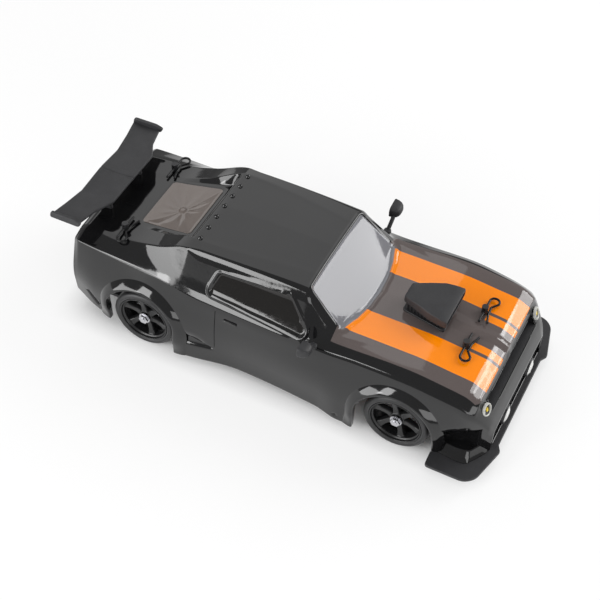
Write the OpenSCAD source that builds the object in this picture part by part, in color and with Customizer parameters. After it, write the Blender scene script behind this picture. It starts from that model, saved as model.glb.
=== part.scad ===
// Rear-wheel-drive drift car, a radio-controlled model of about one sixteenth scale.
// Frame: X forward, Y to the driver's left, Z up. The origin is on the ground, at the middle of
// the overall length. Sizes are millimetres.

/* [Layout] */
// Distance between the front and rear axles
wheelbase = 174; // [160:1:190]
// Front axle to the front edge of the splitter
nose_reach = 63; // [58:1:70]
// Rear axle to the trailing tips of the wing
tail_reach = 67; // [62:1:74]
// Centre plane of the car to the outer face of a wheel
wheel_out = 57.5; // [55:0.5:62]
// Ground to the underside of the chassis
floor_z = 5; // [4:0.5:7]

/* [Wheels] */
// Outer radius of a tyre
tyre_r = 21.25; // [20:0.25:22.5]
// Width of a tyre
tyre_w = 17; // [15:0.5:18]
// Outer radius of a rim, where the tyre is glued on
rim_r = 17.2; // [16:0.1:18]
// Wall of the rim's barrel
rim_wall = 1.5; // [1:0.1:2]
// Number of spokes
spokes = 6; // [5:1:8]
// Radius of a wheel axle
axle_r = 1.5; // [1.2:0.1:2]
// Across the flats of the wheel nut
nut_flats = 5.5; // [5:0.1:6]

/* [Suspension] */
// Centre plane to the inner hinge pins
pivot_in = 12; // [11.5:0.1:13]
// Centre plane to the outer hinge pins
pivot_out = 30; // [29.5:0.1:31]
// Height of the lower hinge pins
pivot_low = 11; // [10.6:0.1:11.4]
// Height of the upper hinge pins
pivot_high = 32; // [31.5:0.1:33]
// Radius of a hinge pin
pin_r = 1; // [0.8:0.05:1.2]
// Running clearance on the radius of every moving fit
run = 0.05; // [0.03:0.01:0.08]
// Springs' distance ahead of the axle
spring_fore = 7.5; // [7:0.1:8]
// Springs' distance from the centre plane
spring_y = 21; // [20.5:0.1:22]
// Mean radius of a spring's curls
spring_r = 3.4; // [3:0.1:3.6]
// Wire diameter of a spring
spring_wire = 0.9; // [0.7:0.1:1]
// Curls in a spring
curls = 6; // [5:1:7]

/* [Steering] */
// Centre plane to the kingpins
kingpin_y = 37; // [36.5:0.1:37.5]
// Length of the steering arms and of the servo horn
steer_arm = 9; // [8.5:0.1:9.5]
// Servo output shaft's distance behind the front axle
servo_back = 24; // [23:0.5:28]
// Length of the servo's case
servo_l = 23; // [20:0.5:24]
// Width of the servo's case
servo_w = 12; // [11:0.5:13]

/* [Drive] */
// Teeth on the motor pinion
pinion_teeth = 13; // [11:1:15]
// Teeth on the large wheel of the lay gear
spur_teeth = 42; // [40:1:43]
// Tooth module of the first stage
fine_module = 0.5; // [0.45:0.01:0.52]
// Teeth on the small wheel of the lay gear
lay_teeth = 16; // [14:1:17]
// Teeth on the spool gear
spool_teeth = 38; // [36:1:39]
// Tooth module of the second stage
coarse_module = 0.6; // [0.55:0.01:0.62]
// Radius of the motor can
motor_r = 12; // [11:0.5:12.5]
// Length of the motor can
motor_l = 24; // [22:0.5:25]

/* [Body shell] */
// Wall of the moulded shell
wall = 1.2; // [1:0.1:1.5]
// Shell standing out past the wheel faces at the arches
arch_cover = 3.5; // [3:0.1:4.5]
// Gap between a tyre and its wheel arch
arch_gap = 5; // [4.5:0.1:5.5]
// Height of the roof
roof_z = 87; // [84:0.5:90]
// Height of the bonnet at the cowl
hood_z = 63; // [61:0.5:65]
// Height of the rear deck
deck_z = 67; // [65:0.5:69]
// Height of the shoulder line at the doors
belt_z = 56.5; // [55:0.5:58]
// Height of the sills
sill_z = 7; // [6.5:0.1:8]
// Height of the nose's lower edge
nose_z = 14.2; // [13.6:0.1:14.8]

/* [Fittings] */
// Thickness of the splitter
splitter_t = 2; // [1.5:0.1:2.5]
// Half-width of the splitter
splitter_half = 72; // [68:0.5:74]
// Height of the wing above the ground
wing_z = 78; // [75:0.5:82]
// Thickness of the wing
wing_t = 1.8; // [1.5:0.1:2.5]
// Half-width of the wing, without its end plates
wing_half = 49; // [44:0.5:52]
// Radius of a body post
post_r = 2.5; // [2.2:0.1:2.8]
// Radius of a body clip's wire
clip_r = 0.6; // [0.5:0.05:0.7]
// Radius of the cross holes in a body post
post_hole_r = 0.8; // [0.75:0.05:0.9]
// Travel of the power switch
switch_travel = 3; // [2:0.5:4]

/* [Hidden] */
$fn = 48;
length = wheelbase + nose_reach + tail_reach;
front_x = length / 2 - nose_reach;
rear_x = front_x - wheelbase;
axle_z = tyre_r;
wheel_in = wheel_out - tyre_w;
hub_face = wheel_out - 10;
hub_end = wheel_out - 3;
floor_t = 2.5;
floor_top = floor_z + floor_t;
seat_gap = 0.15;
side_gap = 0.3;

ends = [["front", front_x], ["rear", rear_x]];
sides = [["left", 1], ["right", -1]];
corner_parts = ["lower_arm", "upper_link", "hub_carrier", "rim", "tyre", "axle", "spring"];

// Bars along the three axes, from one coordinate to another
module bar_x(x0, x1, y, z, r) translate([x0, y, z]) rotate([0, 90, 0]) cylinder(r = r, h = x1 - x0);
module bar_y(y0, y1, x, z, r) translate([x, y0, z]) rotate([-90, 0, 0]) cylinder(r = r, h = y1 - y0);
module bar_z(z0, z1, x, y, r) translate([x, y, z0]) cylinder(r = r, h = z1 - z0);
module block(low, high) translate(low) cube(high - low);
// Left-hand shape, mirrored for the right-hand side
module sided(side) if (side < 0) mirror([0, 1, 0]) children(); else children();
module both() for (s = sides) sided(s[1]) children();
// Hexagonal bar along Y, measured across its flats
module hex_y(y0, y1, x, z, flats)
    translate([x, y0, z]) rotate([-90, 0, 0]) cylinder(d = flats / cos(30), h = y1 - y0, $fn = 6);

// Smooth lines of the body: monotone cubic through [position, value] keys
function rise(k, i) = (k[i + 1][1] - k[i][1]) / (k[i + 1][0] - k[i][0]);
function tangent(k, i) =
    i == 0 ? rise(k, 0) :
    i == len(k) - 1 ? rise(k, i - 1) :
    rise(k, i - 1) * rise(k, i) <= 0 ? 0 :
    2 * rise(k, i - 1) * rise(k, i) / (rise(k, i - 1) + rise(k, i));
function cubic(k, i, t, h) =
    (1 + 2 * t) * (1 - t) * (1 - t) * k[i][1] + t * (1 - t) * (1 - t) * h * tangent(k, i)
    + t * t * (3 - 2 * t) * k[i + 1][1] - t * t * (1 - t) * h * tangent(k, i + 1);
function span(k, x, i = 0) = i >= len(k) - 2 || x < k[i + 1][0] ? i : span(k, x, i + 1);
function line(k, x) =
    x <= k[0][0] ? k[0][1] :
    x >= k[len(k) - 1][0] ? k[len(k) - 1][1] :
    let (i = span(k, x), h = k[i + 1][0] - k[i][0]) cubic(k, i, (x - k[i][0]) / h, h);

// Places along the body
nose_x = front_x + nose_reach - 6;
lip_x = nose_x - 8;
tail_x = rear_x - tail_reach + 13;
cowl_x = front_x - 40;
header_x = front_x - 70;
crown_x = rear_x + 26;
glass_x = rear_x + 19;
deck_x = rear_x - 20;
arch_y = wheel_out + arch_cover;
arch_r = tyre_r + arch_gap;

// Half-widths and heights of the body's lines, from tail to nose
sill_y = [[tail_x, arch_y - 12], [rear_x - 36, arch_y - 6], [rear_x, arch_y - 0.5],
          [rear_x + 27, arch_y - 1], [front_x - 107, arch_y - 6.5], [front_x - 53, arch_y - 3.5],
          [front_x - 36, arch_y], [front_x, arch_y], [front_x + 28, arch_y - 1.5],
          [lip_x - 6, arch_y - 5], [nose_x, arch_y - 17]];
sill_line = [[tail_x, sill_z + 9], [rear_x - 30, sill_z + 5], [rear_x + 28, sill_z], [front_x - 20, sill_z],
             [front_x + 20, nose_z], [nose_x, nose_z]];
flank_y = [[tail_x, arch_y - 9], [rear_x - 36, arch_y - 4], [rear_x, arch_y], [rear_x + 30, arch_y - 2],
           [front_x - 107, arch_y - 4.5], [front_x - 36, arch_y - 0.5], [front_x, arch_y],
           [front_x + 28, arch_y - 1.5], [lip_x - 6, arch_y - 5], [nose_x, arch_y - 16]];
flank_z = [[tail_x, 36], [rear_x, 38], [front_x - 90, 33], [front_x, 38], [lip_x, 30], [nose_x, 24]];
shoulder_y = [[tail_x, arch_y - 15], [tail_x + 5, arch_y - 12], [rear_x, arch_y - 10],
              [rear_x + 42, arch_y - 6], [front_x - 62, arch_y - 5], [front_x - 30, arch_y - 6],
              [front_x, arch_y - 5.5], [lip_x - 5, arch_y - 6], [nose_x - 3, arch_y - 14],
              [nose_x, arch_y - 18]];
shoulder_z = [[tail_x, belt_z + 3], [tail_x + 5, belt_z + 5], [rear_x, belt_z + 4],
              [rear_x + 42, belt_z], [front_x - 62, belt_z], [front_x - 30, hood_z - 4.5],
              [front_x, hood_z - 4], [front_x + 25, hood_z - 7], [lip_x - 4, hood_z - 12],
              [nose_x - 3, 37], [nose_x, 30]];
cabin_y = [[tail_x, arch_y - 22], [rear_x - 10, arch_y - 17], [rear_x + 20, arch_y - 12],
           [rear_x + 42, arch_y - 10.5], [front_x - 62, arch_y - 10.5], [cowl_x - 2, arch_y - 14.5],
           [front_x, arch_y - 12], [lip_x, arch_y - 14], [nose_x, arch_y - 22]];
cabin_z = [[tail_x, belt_z + 5.5], [tail_x + 5, deck_z - 2.5], [rear_x - 10, deck_z - 1],
           [rear_x + 20, belt_z + 8], [rear_x + 42, belt_z + 6], [front_x - 62, belt_z + 4.5],
           [cowl_x - 2, hood_z - 1.5], [front_x, hood_z], [front_x + 25, hood_z - 2],
           [lip_x - 6, hood_z - 4.5], [lip_x, hood_z - 8], [nose_x - 3, 39], [nose_x, 32]];
roof_y = [[tail_x, 36], [deck_x, 38], [rear_x, 39.5], [crown_x, 40.5], [header_x, 40], [cowl_x - 6, 43],
          [front_x, 34], [nose_x, 34]];
roof_edge = [[tail_x, belt_z + 6], [tail_x + 6, deck_z - 1.5], [deck_x, deck_z + 0.5],
             [rear_x, deck_z + 6], [crown_x, roof_z - 3.5], [header_x - 25, roof_z - 2],
             [header_x, roof_z - 2.6], [header_x + 4, roof_z - 6], [cowl_x - 10.5, hood_z + 2.8],
             [cowl_x - 7, hood_z - 0.6], [cowl_x, hood_z - 0.3], [front_x, hood_z + 0.2],
             [front_x + 25, hood_z - 1.8], [lip_x - 6, hood_z - 4.2], [lip_x, hood_z - 7.5],
             [nose_x - 3, 39.5], [nose_x, 32.5]];
glass_y = [[tail_x, 20], [deck_x, 25], [rear_x, 28], [glass_x, 31], [crown_x, 33], [header_x, 25],
           [cowl_x, 22], [nose_x, 22]];
sail_z = [[tail_x, belt_z + 6.5], [tail_x + 6, deck_z - 1.2], [deck_x, deck_z + 1],
          [rear_x, deck_z + 6.5], [crown_x, roof_z - 2], [header_x - 20, roof_z - 0.8],
          [header_x, roof_z - 1.4], [header_x + 4, roof_z - 4.8], [cowl_x - 6, hood_z + 2.9],
          [cowl_x - 2, hood_z - 0.3], [cowl_x + 2, hood_z], [front_x, hood_z + 0.4],
          [front_x + 25, hood_z - 1.6], [lip_x - 6, hood_z - 4], [lip_x, hood_z - 7],
          [nose_x - 3, 40], [nose_x, 33]];
centre_z = [[tail_x, belt_z + 7], [tail_x + 6, deck_z - 1], [deck_x, deck_z + 1.2],
            [glass_x - 8, deck_z + 7.2], [glass_x, deck_z + 9], [crown_x - 2, roof_z - 2],
            [crown_x + 4, roof_z - 1], [header_x - 18, roof_z], [header_x, roof_z - 0.8],
            [header_x + 4, roof_z - 4], [cowl_x - 5, hood_z + 3.9], [cowl_x - 1, hood_z + 0.8],
            [cowl_x + 3, hood_z + 0.4], [front_x, hood_z + 0.6], [front_x + 25, hood_z - 1.4],
            [lip_x - 6, hood_z - 3.8], [lip_x, hood_z - 6.8], [nose_x - 3, 40], [nose_x, 33]];

// Corner points of half a cross-section, from the sill up to the centre line
function half_corners(x) =
    let (s = [line(roof_y, x), line(roof_edge, x)], g = [line(glass_y, x), line(sail_z, x)],
         dip = line(centre_z, x))
    [[line(sill_y, x), line(sill_line, x)], [line(flank_y, x), line(flank_z, x)],
     [line(shoulder_y, x), line(shoulder_z, x)], [line(cabin_y, x), line(cabin_z, x)], s, g,
     [g[0] - 3.5, min(g[1], dip)], [0, dip]];
// How softly each corner is rounded, as a share of its shorter side
softness = [0, 0.4, 0.22, 0.3, 0.25, 0.2, 0.2, 0];
function softened(p, i) =
    let (a = p[i - 1], b = p[i], c = p[i + 1], f = softness[i])
    [b + (a - b) * f, 0.25 * (b + (a - b) * f) + 0.5 * b + 0.25 * (b + (c - b) * f), b + (c - b) * f];
function half_profile(p) =
    concat([p[0]], [for (i = [1 : len(p) - 2]) for (q = softened(p, i)) q], [p[len(p) - 1]]);
// The same half-profile moved inwards by the wall
function inwards(q, t) =
    [for (i = [0 : len(q) - 1])
        let (a = q[max(i - 1, 0)], b = q[min(i + 1, len(q) - 1)], d = b - a, n = [d[1], -d[0]] / norm(d))
        i == 0 ? [q[0][0] - t, q[0][1] - 1] :
        i == len(q) - 1 ? [0, q[i][1] - t] : q[i] - n * t];
function ring(x, q) =
    concat([for (p = q) [x, p[0], p[1]]], [for (i = [len(q) - 2 : -1 : 0]) [x, -q[i][0], q[i][1]]]);
stations = concat(
    [tail_x, tail_x + 1.5, tail_x + 4, tail_x + 6.5, tail_x + 12],
    [for (i = [0 : 3]) deck_x - 8 + i * 6],
    [for (i = [0 : 4]) rear_x + i * 4],
    [glass_x, glass_x + 2, crown_x - 2.5, crown_x, crown_x + 4, crown_x + 10, rear_x + 46],
    [for (f = [0.25, 0.5, 0.75]) (rear_x + 46) * (1 - f) + (header_x - 12) * f],
    [header_x - 12, header_x - 4, header_x, header_x + 4, header_x + 10, header_x + 17],
    [cowl_x - 8, cowl_x - 5, cowl_x - 2, cowl_x + 1, cowl_x + 5],
    [for (i = [0 : 4]) front_x - 30 + i * 12],
    [front_x + 28, lip_x - 12, lip_x - 8, lip_x - 5, lip_x - 2, lip_x, lip_x + 2.5],
    [nose_x - 3, nose_x - 1, nose_x]);
module loft(rings) {
    m = len(rings[0]);
    n = len(rings);
    polyhedron(
        points = [for (r = rings) for (p = r) p],
        faces = concat(
            [[for (j = [0 : m - 1]) j]],
            [for (i = [0 : n - 2]) for (j = [0 : m - 1]) for (half = [0, 1])
                let (a = i * m + j, b = i * m + (j + 1) % m, c = a + m, d = b + m)
                half == 0 ? [a, c, b] : [b, c, d]],
            [[for (j = [m - 1 : -1 : 0]) (n - 1) * m + j]]));
}
// Height of the bonnet or deck at a place near the centre line
function skin_z(x, y) =
    let (p = half_corners(x), e = p[4], g = p[5])
    y <= g[0] ? p[7][1] + (g[1] - p[7][1]) * y / g[0] : g[1] + (e[1] - g[1]) * (y - g[0]) / (e[0] - g[0]);

// Openings in the nose: a grille band with the headlights, and a lower intake with the driving lamps
headlight_z = 46;
headlight_r = 3.8;
grille = [[lip_x - 5, -arch_y + 12, headlight_z - 7.5], [nose_x + 9, arch_y - 12, headlight_z + 5]];
lamp_y = 20.6;
lamp_z = nose_z + 8.5;
lamp_r = 6.3;
lamp_room = 0.35;
intake = [[nose_x - 7, -arch_y + 20, lamp_z - lamp_r - lamp_room],
          [nose_x + 9, arch_y - 20, lamp_z + lamp_r + lamp_room]];
function grown(b, t) = [b[0] - [t, t, t], b[1] + [t, t, t]];

post_at = [["front", [front_x + 23.7, 15.4]], ["rear", [rear_x - 25.7, 31]]];
clip_lift = 1.7;
function post_skin(p) = skin_z(p[0], p[1]);

module body_shell() color([0.08, 0.08, 0.085]) resize([0, 0, 0]) difference() {
    loft([for (x = stations) ring(x, half_profile(half_corners(x)))]);
    difference() {
        loft([for (x = stations)
            let (u = min(max(x, tail_x + wall), nose_x - wall))
            if (x > tail_x + wall / 2 && x < nose_x - wall / 2 || x == tail_x || x == nose_x)
                ring(u, inwards(half_profile(half_corners(u)), wall))]);
        block(grown(grille, wall)[0], grown(grille, wall)[1]);
        block(grown(intake, wall)[0], grown(intake, wall)[1]);
    }
    block(grille[0], grille[1]);
    block(intake[0], intake[1]);
    for (e = ends) bar_y(-arch_y - 9, arch_y + 9, e[1], axle_z, arch_r);
    for (e = ends) block([e[1] - arch_r, -arch_y - 9, 0], [e[1] + arch_r, arch_y + 9, axle_z]);
    for (p = post_at) both() bar_z(floor_top, roof_z, p[1][0], p[1][1], post_tip_r + side_gap);
}

// Splitter under the nose, with stepped corner wings, cut back clear of the steered wheels
wheel_clear_x = front_x + tyre_r + 7.5;
splitter_rear = nose_x - 31;
splitter_front = front_x + nose_reach;
corner_r = 5;
tip_r = 2;
tongue_half = splitter_half - 34;
module front_splitter() color([0.09, 0.09, 0.09]) difference() {
    translate([0, 0, nose_z - splitter_t - seat_gap]) linear_extrude(splitter_t) {
        for (s = [-1, 1]) hull() {
            for (x = [splitter_rear + corner_r, splitter_front - 11 - corner_r])
                translate([x, s * (splitter_half - corner_r)]) circle(corner_r);
            translate([splitter_front - tip_r, s * (tongue_half + tip_r)]) circle(tip_r);
            translate([splitter_rear + corner_r, s * tongue_half]) circle(corner_r);
        }
        translate([splitter_rear + corner_r, -tongue_half])
            square([splitter_front - 1.4 - splitter_rear - corner_r, 2 * tongue_half]);
    }
    block([0, 9 - splitter_half, 0], [wheel_clear_x, splitter_half - 9, nose_z]);
}

// Wing on two stays: a gull-shaped plate that dips at its knees, with raked end plates
wing_back = 39;
wing_lead = rear_x - wing_back;
wing_chord = 24;
wing_knee = 23;
stay_x = wing_lead - 9;
stay_y = 18;
stay_half = 4;
stay_foot = max(skin_z(stay_x - stay_half, stay_y), skin_z(stay_x + stay_half, stay_y)) + side_gap;
tip_sweep = 9;
tip_chord = tail_reach - wing_back - tip_sweep;
// Across the wing: half-width, sweep and rise of the leading edge, chord and rise of the trailing edge
wing_line = [[-0.01, 0, 1.6, wing_chord, 0.6], [wing_knee, 0, 0.6, wing_chord, -2.6],
             [wing_half, tip_sweep, -0.2, tip_chord, -0.6]];
function wing_ring(w) =
    let (lead = wing_lead - w[1], trail = lead - w[3])
    [[lead, w[0], wing_z + w[2] - wing_t / 2], [trail, w[0], wing_z + w[4] - wing_t / 2],
     [trail, w[0], wing_z + w[4] + wing_t / 2], [lead, w[0], wing_z + w[2] + wing_t / 2]];
module rear_wing() color([0.1, 0.1, 0.1]) both() {
    loft([for (w = wing_line) wing_ring(w)]);
    translate([0, wing_half - 0.01, 0]) rotate([90, 0, 0]) translate([0, 0, -wing_t]) linear_extrude(wing_t)
        polygon([[wing_lead - tip_sweep + 1, wing_z - 1.6], [rear_x - tail_reach, wing_z - 1.6],
                 [rear_x - tail_reach + 1.5, wing_z + 5], [wing_lead - 5, wing_z + 4]]);
    block([stay_x - stay_half, stay_y - 1, stay_foot], [stay_x + stay_half, stay_y + 1, wing_z - 0.4]);
}

// Scoop on the bonnet: a hat that widens and rises to an open mouth, on a ribbed neck
scoop_x = front_x - 21;
scoop_base = skin_z(scoop_x + 4, 9) + 0.4;
scoop_l = 30;
hat_wall = 1.5;
// Along the hat from its back: distance, half-width, underside and top above the base
hat = [[0, 7.4, 4.2, 6.6], [2.5, 8.4, 3.4, 7.8], [19, 15, 5.2, 11.6], [scoop_l, 14.4, 5.6, 11.6]];
mouth_l = 13;
function hat_at(d) = [for (i = [0 : 3]) lookup(d, [for (h = hat) [h[0], h[i]]])];
function hat_ring(x, h, t) =
    [[x, h[1] - t, h[2] + t], [x, h[1] - t, h[3] - t], [x, t - h[1], h[3] - t], [x, t - h[1], h[2] + t]];
neck_from = 3;
neck_to = 27;
neck_ribs = 8;
neck_half = [6.2, 10.6];
rib = 0.5;
neck_side = [for (i = [0 : 2 * neck_ribs]) for (k = [0, 1])
    let (t = (i + 0.35 * k) / (2 * neck_ribs + 0.35))
    [neck_from + (neck_to - neck_from) * t,
     neck_half[0] + (neck_half[1] - neck_half[0]) * t + (i % 2 == 0 ? rib : -rib)]];
module hood_scoop() color([0.07, 0.07, 0.07]) translate([scoop_x, 0, scoop_base]) {
    difference() {
        loft([for (h = hat) hat_ring(h[0], h, 0)]);
        loft([hat_ring(scoop_l - mouth_l, hat_at(scoop_l - mouth_l), hat_wall),
              hat_ring(hat[2][0], hat[2], hat_wall), hat_ring(scoop_l + 1, hat[3], hat_wall)]);
    }
    linear_extrude(hat[1][2] + hat_wall)
        polygon(concat(neck_side,
                       [for (i = [len(neck_side) - 1 : -1 : 0]) [neck_side[i][0], -neck_side[i][1]]]));
    block([neck_from - 1, -neck_half[0] - 1, 0], [neck_to + 1, neck_half[0] + 1, rib * 3]);
}

// Door mirrors: a foot square on the shoulder, a stalk and a domed head
mirror_x = header_x + 13;
mirror_edge = line(shoulder_y, mirror_x);
mirror_slope = half_corners(mirror_x)[3] - half_corners(mirror_x)[2];
mirror_seat = half_corners(mirror_x)[2] + mirror_slope / 2;
mirror_lean = atan2(mirror_slope[1], -mirror_slope[0]);
stalk_r = 1.4;
module door_mirrors() color([0.07, 0.07, 0.07]) both() {
    translate([mirror_x, mirror_seat[0], mirror_seat[1]]) rotate([-mirror_lean, 0, 0])
        bar_z(seat_gap, 2.5, 0, 0, 2.2);
    hull() {
        translate([mirror_x, mirror_seat[0] + 1, mirror_seat[1] + 2]) sphere(stalk_r, $fn = 16);
        translate([mirror_x, mirror_edge + 8, belt_z + 9]) sphere(stalk_r, $fn = 16);
    }
    hull() {
        translate([mirror_x - 1.5, mirror_edge + 8, belt_z + 11]) sphere(3, $fn = 24);
        translate([mirror_x - 1.5, mirror_edge + 13, belt_z + 11.5]) sphere(3, $fn = 24);
        translate([mirror_x + 1.5, mirror_edge + 10.5, belt_z + 11.3]) sphere(2.6, $fn = 24);
    }
}

// Round driving lamps in the intake and headlights in the grille
module lamp_units() color([0.9, 0.9, 0.88]) both() {
    bar_x(intake[0][0] + seat_gap, nose_x + 1, lamp_y, lamp_z, lamp_r);
    bar_x(grille[0][0] + seat_gap, lip_x + 1, arch_y - 17, headlight_z, headlight_r);
}

// Body posts: a foot on the chassis, a collar under the shell and cross holes for the clips
post_tip_r = post_r - 0.5;
post_pitch = 2.2;
post_cap = 1.4;
collar_drop = 3;
module body_post(p) {
    top = post_skin(p);
    difference() {
        union() {
            bar_z(floor_top, floor_top + 2.5, p[0], p[1], post_r + 2);
            bar_z(floor_top, top - collar_drop, p[0], p[1], post_r);
            bar_z(floor_top, top + clip_lift + post_pitch + post_cap, p[0], p[1], post_tip_r);
            bar_z(top - collar_drop - 4, top - collar_drop, p[0], p[1], post_r + 1.8);
        }
        for (i = [0, 1]) bar_y(p[1] - 9, p[1] + 9, p[0], top + clip_lift + i * post_pitch, post_hole_r);
        bar_z(floor_z, floor_z + screw_l + 0.5, p[0], p[1], screw_r + run);
    }
}
module body_posts() color([0.12, 0.12, 0.12]) for (p = post_at) both() body_post(p[1]);

// Body clip: one bent wire, with a straight leg through the post, a finger loop outboard and a
// bowed leg that lies beside the post and flares at its tip
loop_r = 3;
clip_reach = 9;
clip_sides = 8;
bow_x = post_tip_r + clip_r + 0.35;
clip_path = concat(
    [for (y = [-clip_reach - 1, 0, clip_reach]) [0, y]],
    [for (a = [160 : -20 : -20]) [loop_r, clip_reach] + loop_r * [cos(a), sin(a)]],
    [[2 * loop_r - 1.6, clip_reach - 3], [bow_x - 0.3, clip_reach - 5.5], [bow_x, 1.5], [bow_x, -2],
     [bow_x + 0.7, -clip_reach / 2], [bow_x + 2, -clip_reach]]);
function clip_heading(i) =
    unit(clip_path[min(i + 1, len(clip_path) - 1)] - clip_path[max(i - 1, 0)]);
function clip_ring(i) =
    let (d = clip_heading(i), n = [d[1], -d[0]])
    [for (k = [0 : clip_sides - 1])
        let (a = k * 360 / clip_sides, q = clip_path[i] + clip_r * cos(a) * n)
        [q[0], q[1], clip_r * sin(a)]];
module body_clip(p) color([0.55, 0.55, 0.56]) translate([p[0], p[1], post_skin(p) + clip_lift])
    loft([for (i = [len(clip_path) - 1 : -1 : 0]) clip_ring(i)]);

// Gear centres: spool on the rear axle line, lay gear ahead of it, motor ahead of that
lay_x = rear_x + (lay_teeth + spool_teeth) / 2 * coarse_module;
motor_x = lay_x + (pinion_teeth + spur_teeth) / 2 * fine_module;
case_left = 7;
case_right = -case_left;
case_wall = 2;
spur_y = [-2.6, 0.4];
coarse_y = [0.9, 4.4];
gear_room = 0.9;
spool_tip = (spool_teeth / 2 + 1) * coarse_module;
spur_tip = (spur_teeth / 2 + 1) * fine_module;
pinion_tip = (pinion_teeth / 2 + 1) * fine_module;
journal_r = 3;
case_t = 1.6;
foot_half = 2.6;
case_x = [rear_x - spool_tip - gear_room, lay_x + spur_tip + gear_room];
foot_x = [case_x[0] - case_t - foot_half + 0.2, case_x[1] + case_t + foot_half - 0.2];
lay_pin_r = 1;

// Chassis tub: floor plate that narrows at the axles, with a low rim round the bays
bay_y = 36;
waist_y = pivot_in + 3;
tail_plate = rear_x - 39;
nose_plate = wheel_clear_x - seat_gap;
switch_at = [-2, -20];
knob = [3, 2.4];
floor_half =
    [[tail_plate, bay_y], [rear_x - 19, bay_y], [rear_x - 14, waist_y], [rear_x + 15, waist_y],
     [rear_x + 22, bay_y], [front_x - 32, bay_y], [front_x - 24, 24], [front_x - 14, waist_y],
     [front_x + 15, waist_y], [front_x + 19, 22], [nose_plate, 22]];
module floor_outline() polygon(concat(
    floor_half, [for (i = [len(floor_half) - 1 : -1 : 0]) [floor_half[i][0], -floor_half[i][1]]]));
rim_h = 5;
module chassis_tub() color([0.13, 0.13, 0.14]) difference() {
    union() {
        translate([0, 0, floor_z]) linear_extrude(floor_t) floor_outline();
        both() block([rear_x + 24, bay_y - 1.5, floor_z], [front_x - 33, bay_y, floor_top + rim_h]);
    }
    translate([switch_at[0], switch_at[1], floor_z])
        block([-(knob[0] + switch_travel) / 2 - 0.4, -knob[1] / 2 - 0.4, -1],
              [(knob[0] + switch_travel) / 2 + 0.4, knob[1] / 2 + 0.4, floor_t + 1]);
    for (s = screw_at) bar_z(floor_z - 1, floor_top + 1, s[0], s[1], screw_r + run);
    for (s = screw_at) bar_z(floor_z - 1, floor_z + head_h, s[0], s[1], head_r + run);
}
// Countersunk screws from below
screw_r = 1.2;
head_r = 2.2;
head_h = 1;
screw_l = 7;
screw_y = 4.5;
screw_at = concat(
    [for (s = [-1, 1]) for (x = concat([front_x - 3, front_x + 3], foot_x)) [x, s * screw_y]],
    [for (s = [-1, 1]) for (p = post_at) [p[1][0], s * p[1][1]]]);
module chassis_screws() color([0.6, 0.6, 0.62]) for (s = screw_at) difference() {
    union() {
        bar_z(floor_z, floor_z + head_h, s[0], s[1], head_r);
        bar_z(floor_z, floor_z + screw_l, s[0], s[1], screw_r);
    }
    translate([s[0], s[1], floor_z - 1]) cylinder(d = 1.5 / cos(30), h = 1.7, $fn = 6);
}

// Hinge lugs that carry an arm's inner barrel between them
lug_r = 2.6;
lower_half = 5;
upper_half = 2.2;
lug_w = 2.4;
module lugs(x, z, half, y0) both() for (s = [-1, 1]) difference() {
    x0 = x + (s > 0 ? half + side_gap : -half - side_gap - lug_w);
    union() {
        block([x0, y0, z - lug_r], [x0 + lug_w, pivot_in, z + lug_r]);
        bar_x(x0, x0 + lug_w, pivot_in, z, lug_r);
    }
    bar_x(x0 - 1, x0 + lug_w + 1, pivot_in, z, pin_r + 0.02);
}
// Spring tower: a cross beam over both springs, with a peg into each
beam_z = pivot_high + 1.6;
beam_t = 2.6;
seat_r = 4.8;
peg_r = spring_r - spring_wire / 2 - 0.5;
peg_h = 3;
module tower(x, y0) both() {
    block([x + spring_fore - 4, y0, beam_z], [x + spring_fore + 4, spring_y, beam_z + beam_t]);
    bar_z(beam_z, beam_z + beam_t, x + spring_fore, spring_y, seat_r);
    bar_z(beam_z - peg_h, beam_z, x + spring_fore, spring_y, peg_r);
}
module screw_sockets()
    for (s = screw_at) bar_z(floor_z, floor_z + screw_l + 0.5, s[0], s[1], screw_r + run);
core_y = 7.2;
module front_bulkhead() color([0.12, 0.12, 0.12]) difference() {
    union() {
        block([front_x - 4.9, -core_y, floor_top], [front_x + spring_fore + 4, core_y, beam_z + beam_t]);
        lugs(front_x, pivot_low, lower_half, core_y - 1);
        lugs(front_x, pivot_high, upper_half, core_y - 1);
        tower(front_x, core_y - 1);
        for (x = [-lower_half - side_gap - lug_w, lower_half + side_gap])
            block([front_x + x, -core_y, floor_top], [front_x + x + lug_w, core_y, pivot_low + lug_r]);
    }
    screw_sockets();
}

// Gearbox case round the gears, with hinge lugs, a motor plate, a spring tower and screwed feet
spool_room = spool_tip + gear_room;
pinion_room = pinion_tip + gear_room;
module gear_room_box(t, half, low) {
    block([case_x[0] - t, -half, low], [case_x[1] + t, half, axle_z + spool_room + t]);
    block([lay_x, -half, axle_z - pinion_room - t],
          [motor_x + pinion_room + t, half, axle_z + pinion_room + t]);
}
module gearbox_case() color([0.12, 0.12, 0.12]) difference() {
    union() {
        difference() {
            union() {
                gear_room_box(case_t, case_left, floor_top);
                bar_y(case_right, case_right + case_wall, motor_x, axle_z, motor_r);
            }
            gear_room_box(0, case_left - case_wall, axle_z - spool_room);
        }
        lugs(rear_x, pivot_low, lower_half, case_left - 0.5);
        lugs(rear_x, pivot_high, upper_half, case_left - 0.5);
        tower(rear_x, 0);
        block([rear_x - lower_half, case_right, axle_z + spool_room],
              [rear_x + spring_fore + 4, case_left, beam_z + beam_t]);
        for (x = foot_x)
            block([x - foot_half, case_right, floor_top],
                  [x + foot_half, case_left, floor_z + screw_l + 1.2]);
    }
    bar_y(case_right - 1, case_left + 1, rear_x, axle_z, journal_r + run);
    bar_y(case_right - 1, case_left + 1, lay_x, axle_z, lay_pin_r + 0.02);
    bar_y(case_right - 1, case_right + case_wall + 1, motor_x, axle_z, 3.2);
    screw_sockets();
}

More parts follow.
